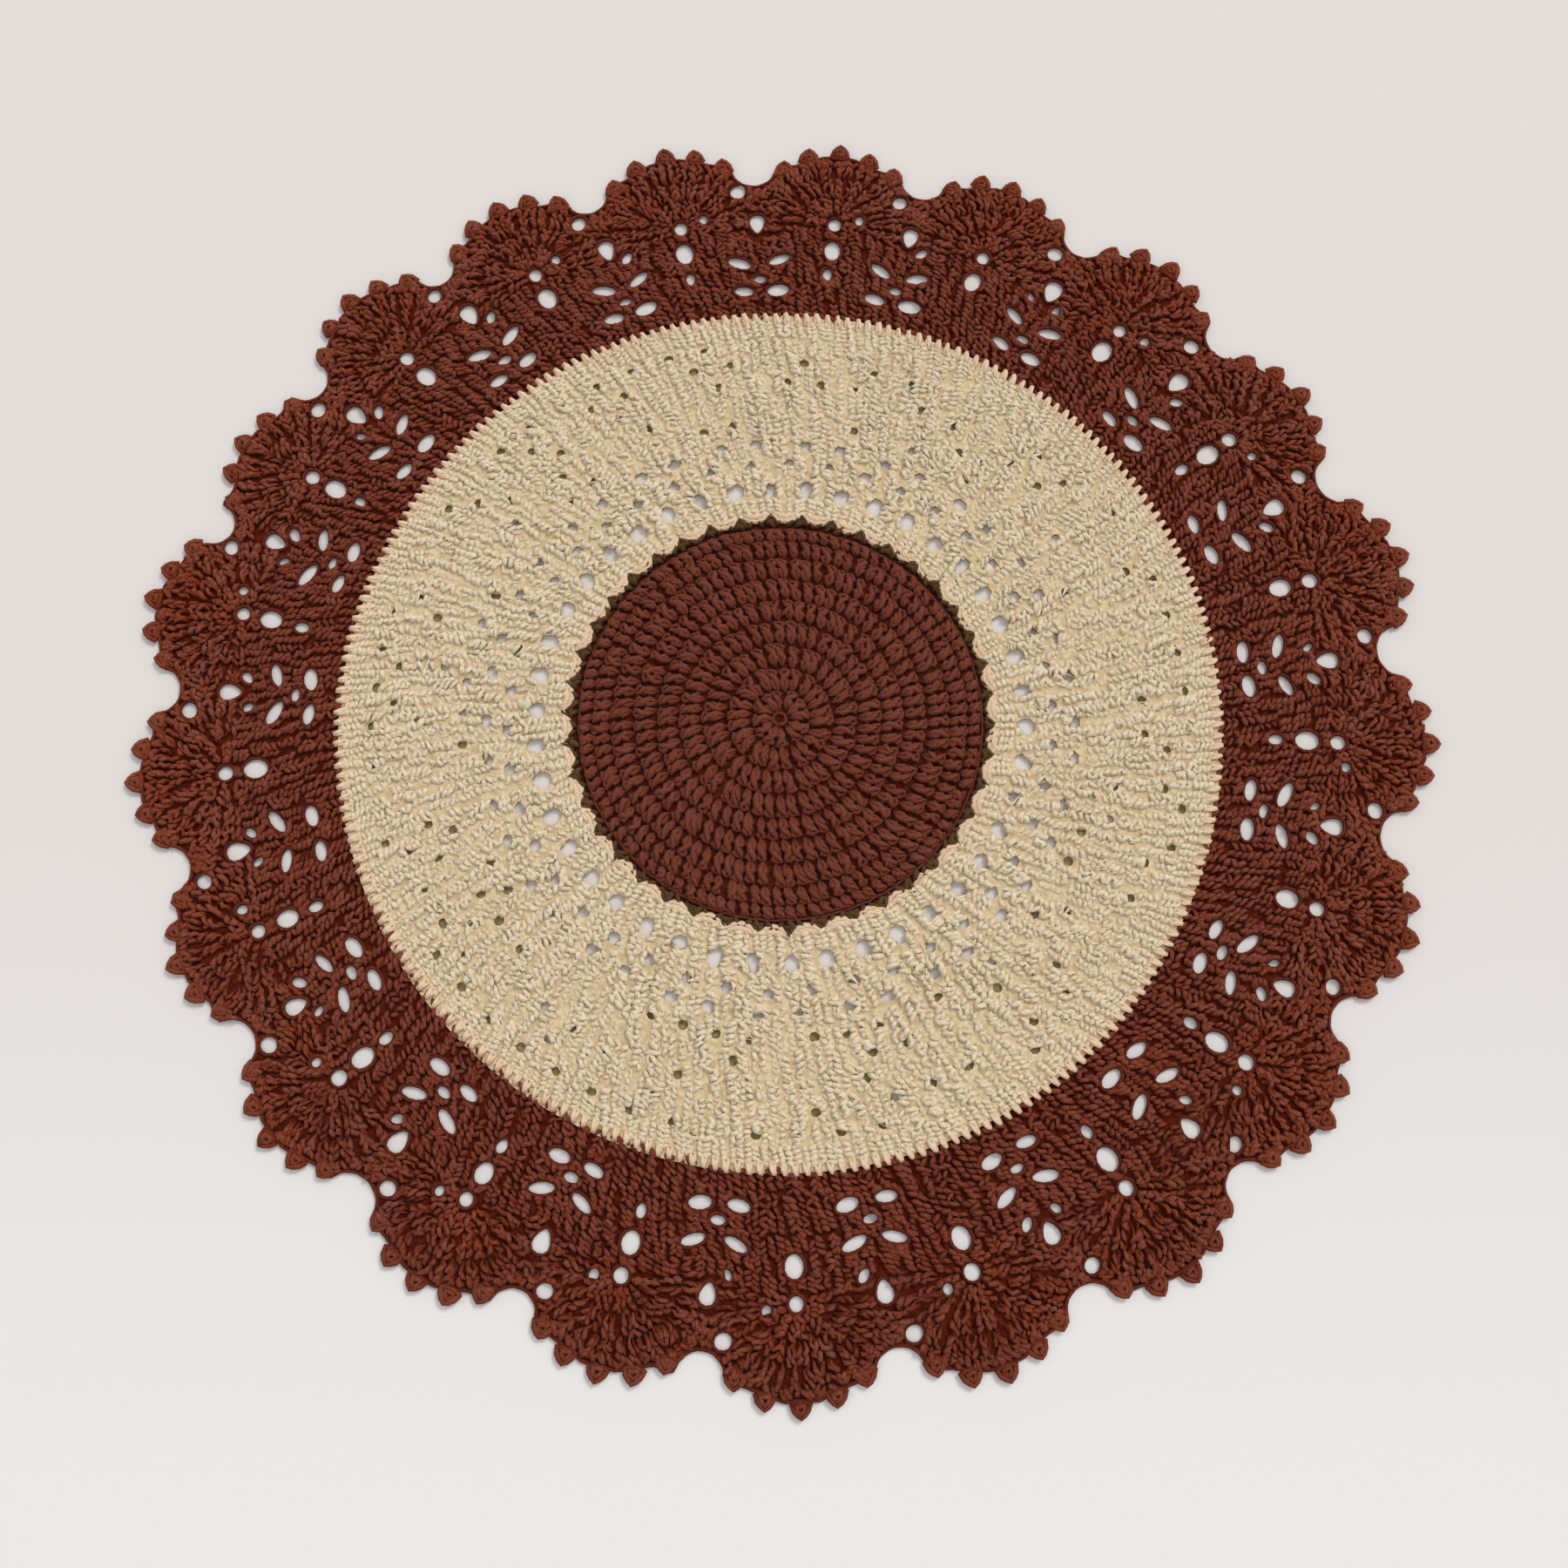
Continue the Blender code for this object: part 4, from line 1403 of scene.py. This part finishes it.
# A picot's bends are millimetres sideways from its tip, outwards from it and above the table.
Knot = namedtuple("Knot", "sideways_mm outwards_mm height_mm thick")
PICOT = (
    Knot(-4.2, -6.6, 1.6, 1.25),
    Knot(-3.0, -4.2, 1.9, 1.35),
    Knot(-1.5, -2.2, 2.1, 1.2),
    Knot(0.0, -1.0, 2.1, 1.05),
    Knot(1.6, -2.3, 2.1, 1.2),
    Knot(3.1, -4.2, 1.9, 1.35),
    Knot(4.2, -6.6, 1.6, 1.25),
    Knot(1.6, -7.6, 1.4, 1.2),
    Knot(-1.6, -7.6, 1.4, 1.2),
)
PICOT_MIDDLE = (
    Knot(-1.7, -6.2, 1.8, 1.7),
    Knot(-1.2, -4.4, 1.9, 1.75),
    Knot(0.0, -3.0, 1.9, 1.6),
    Knot(1.2, -4.5, 1.9, 1.75),
    Knot(1.7, -6.2, 1.8, 1.7),
    Knot(0.0, -6.0, 1.9, 1.75),
)
PICOT_ROUGH = 0.4
CORD_STEP = 2.4
CORD_HEIGHT, CORD_THICK = 1.3, 0.85
CORD_SWELL = 0.1
SWELL_MM = 7.2

picots, picot_middles = [], []
for scallop in SCALLOPS:
    for number, point in enumerate(POINTS):
        drop = point.drop_mm + POINT_UNEVEN * uneven(scallop.axis_deg, number, ASK_DROP)
        turn = scallop.axis_deg + point.turn_deg
        tip = at(turn, scallop.reach_mm - drop)
        outwards = at(turn, 1.0) / MM
        sideways = np.array([outwards[1], -outwards[0]])
        for pattern, found in ((PICOT, picots), (PICOT_MIDDLE, picot_middles)):
            knots = np.array(pattern)
            flat = tip + (knots[:, :1] * sideways + knots[:, 1:2] * outwards) * MM
            found.append(np.concatenate([flat, knots[:, 2:3] * MM, knots[:, 3:]], axis=1))

cord_line = walked(inset_line(EDGE, CORD_INSET * MM), CORD_STEP * MM)
swell = CORD_SWELL * np.sin(2.0 * math.pi * np.arange(len(cord_line)) * CORD_STEP / SWELL_MM)
cord = np.zeros((1, len(cord_line), 4))
cord[0, :, :2] = cord_line
cord[0, :, 2] = CORD_HEIGHT * MM
cord[0, :, 3] = CORD_THICK + swell
edge_groups += [settled(cord, rough=0.0)]
edge_groups += [settled(np.array(found), rough=PICOT_ROUGH) for found in (picots, picot_middles)]
yarn_piece("edging", edge_groups, FAN_YARN)

# %% [markdown]
# Rims. The chains that leave a gap run round it, so one strand lies along the edge of every gap of
# the border, under the stitches that are worked over it.

# %% Rims of the gaps
RIM_HEIGHT = 1.25
RIM_OUTSIDE = 0.85
RIM_THICK = 0.85
RIM_POINTS = 12
RIM_ROUGH = 0.3
rims = np.zeros((len(LACE_OPENINGS), RIM_POINTS, 4))
rims[:, :, :2] = [opening_line(o, RIM_OUTSIDE, RIM_POINTS) for o in LACE_OPENINGS]
rims[:, :, 2] = RIM_HEIGHT * MM
rims[:, :, 3] = RIM_THICK
yarn_piece("rims", [jittered(rims, RIM_ROUGH)], BORDER_YARN)

# %% [markdown]
# Last, every ground sheet rides with the mat's body.

# %% The ground sheets ride with the body
for ground, area, across_mm, slot, word in (
        (disc_ground, disc_area, 2.0 * DISC_EDGE, DISC_DYE.slot, "disc"),
        (band_ground, band_area, 2.0 * BAND_EDGE, BAND_DYE.slot, "band"),
        (dimple_ground, dimple_area, 2.0 * BAND_EDGE, BAND_DYE.slot, "dimple"),
        (border_ground, border_area, 2.0 * USUAL_REACH, BORDER_DYE.slot, "border")):
    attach(ground, BODY)
    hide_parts(NODE)
    pieces = [p for p in stitch_pieces if p.name.startswith(word)]
    if word == "border":
        pieces += [p for p in stitch_pieces if p.name.startswith(("fans", "edging", "rims"))]

triangles = 0
for piece in stitch_pieces + [disc_ground, band_ground, dimple_ground, border_ground]:
    piece.data.calc_loop_triangles()
    triangles += len(piece.data.loop_triangles)
print("triangles in all", triangles)
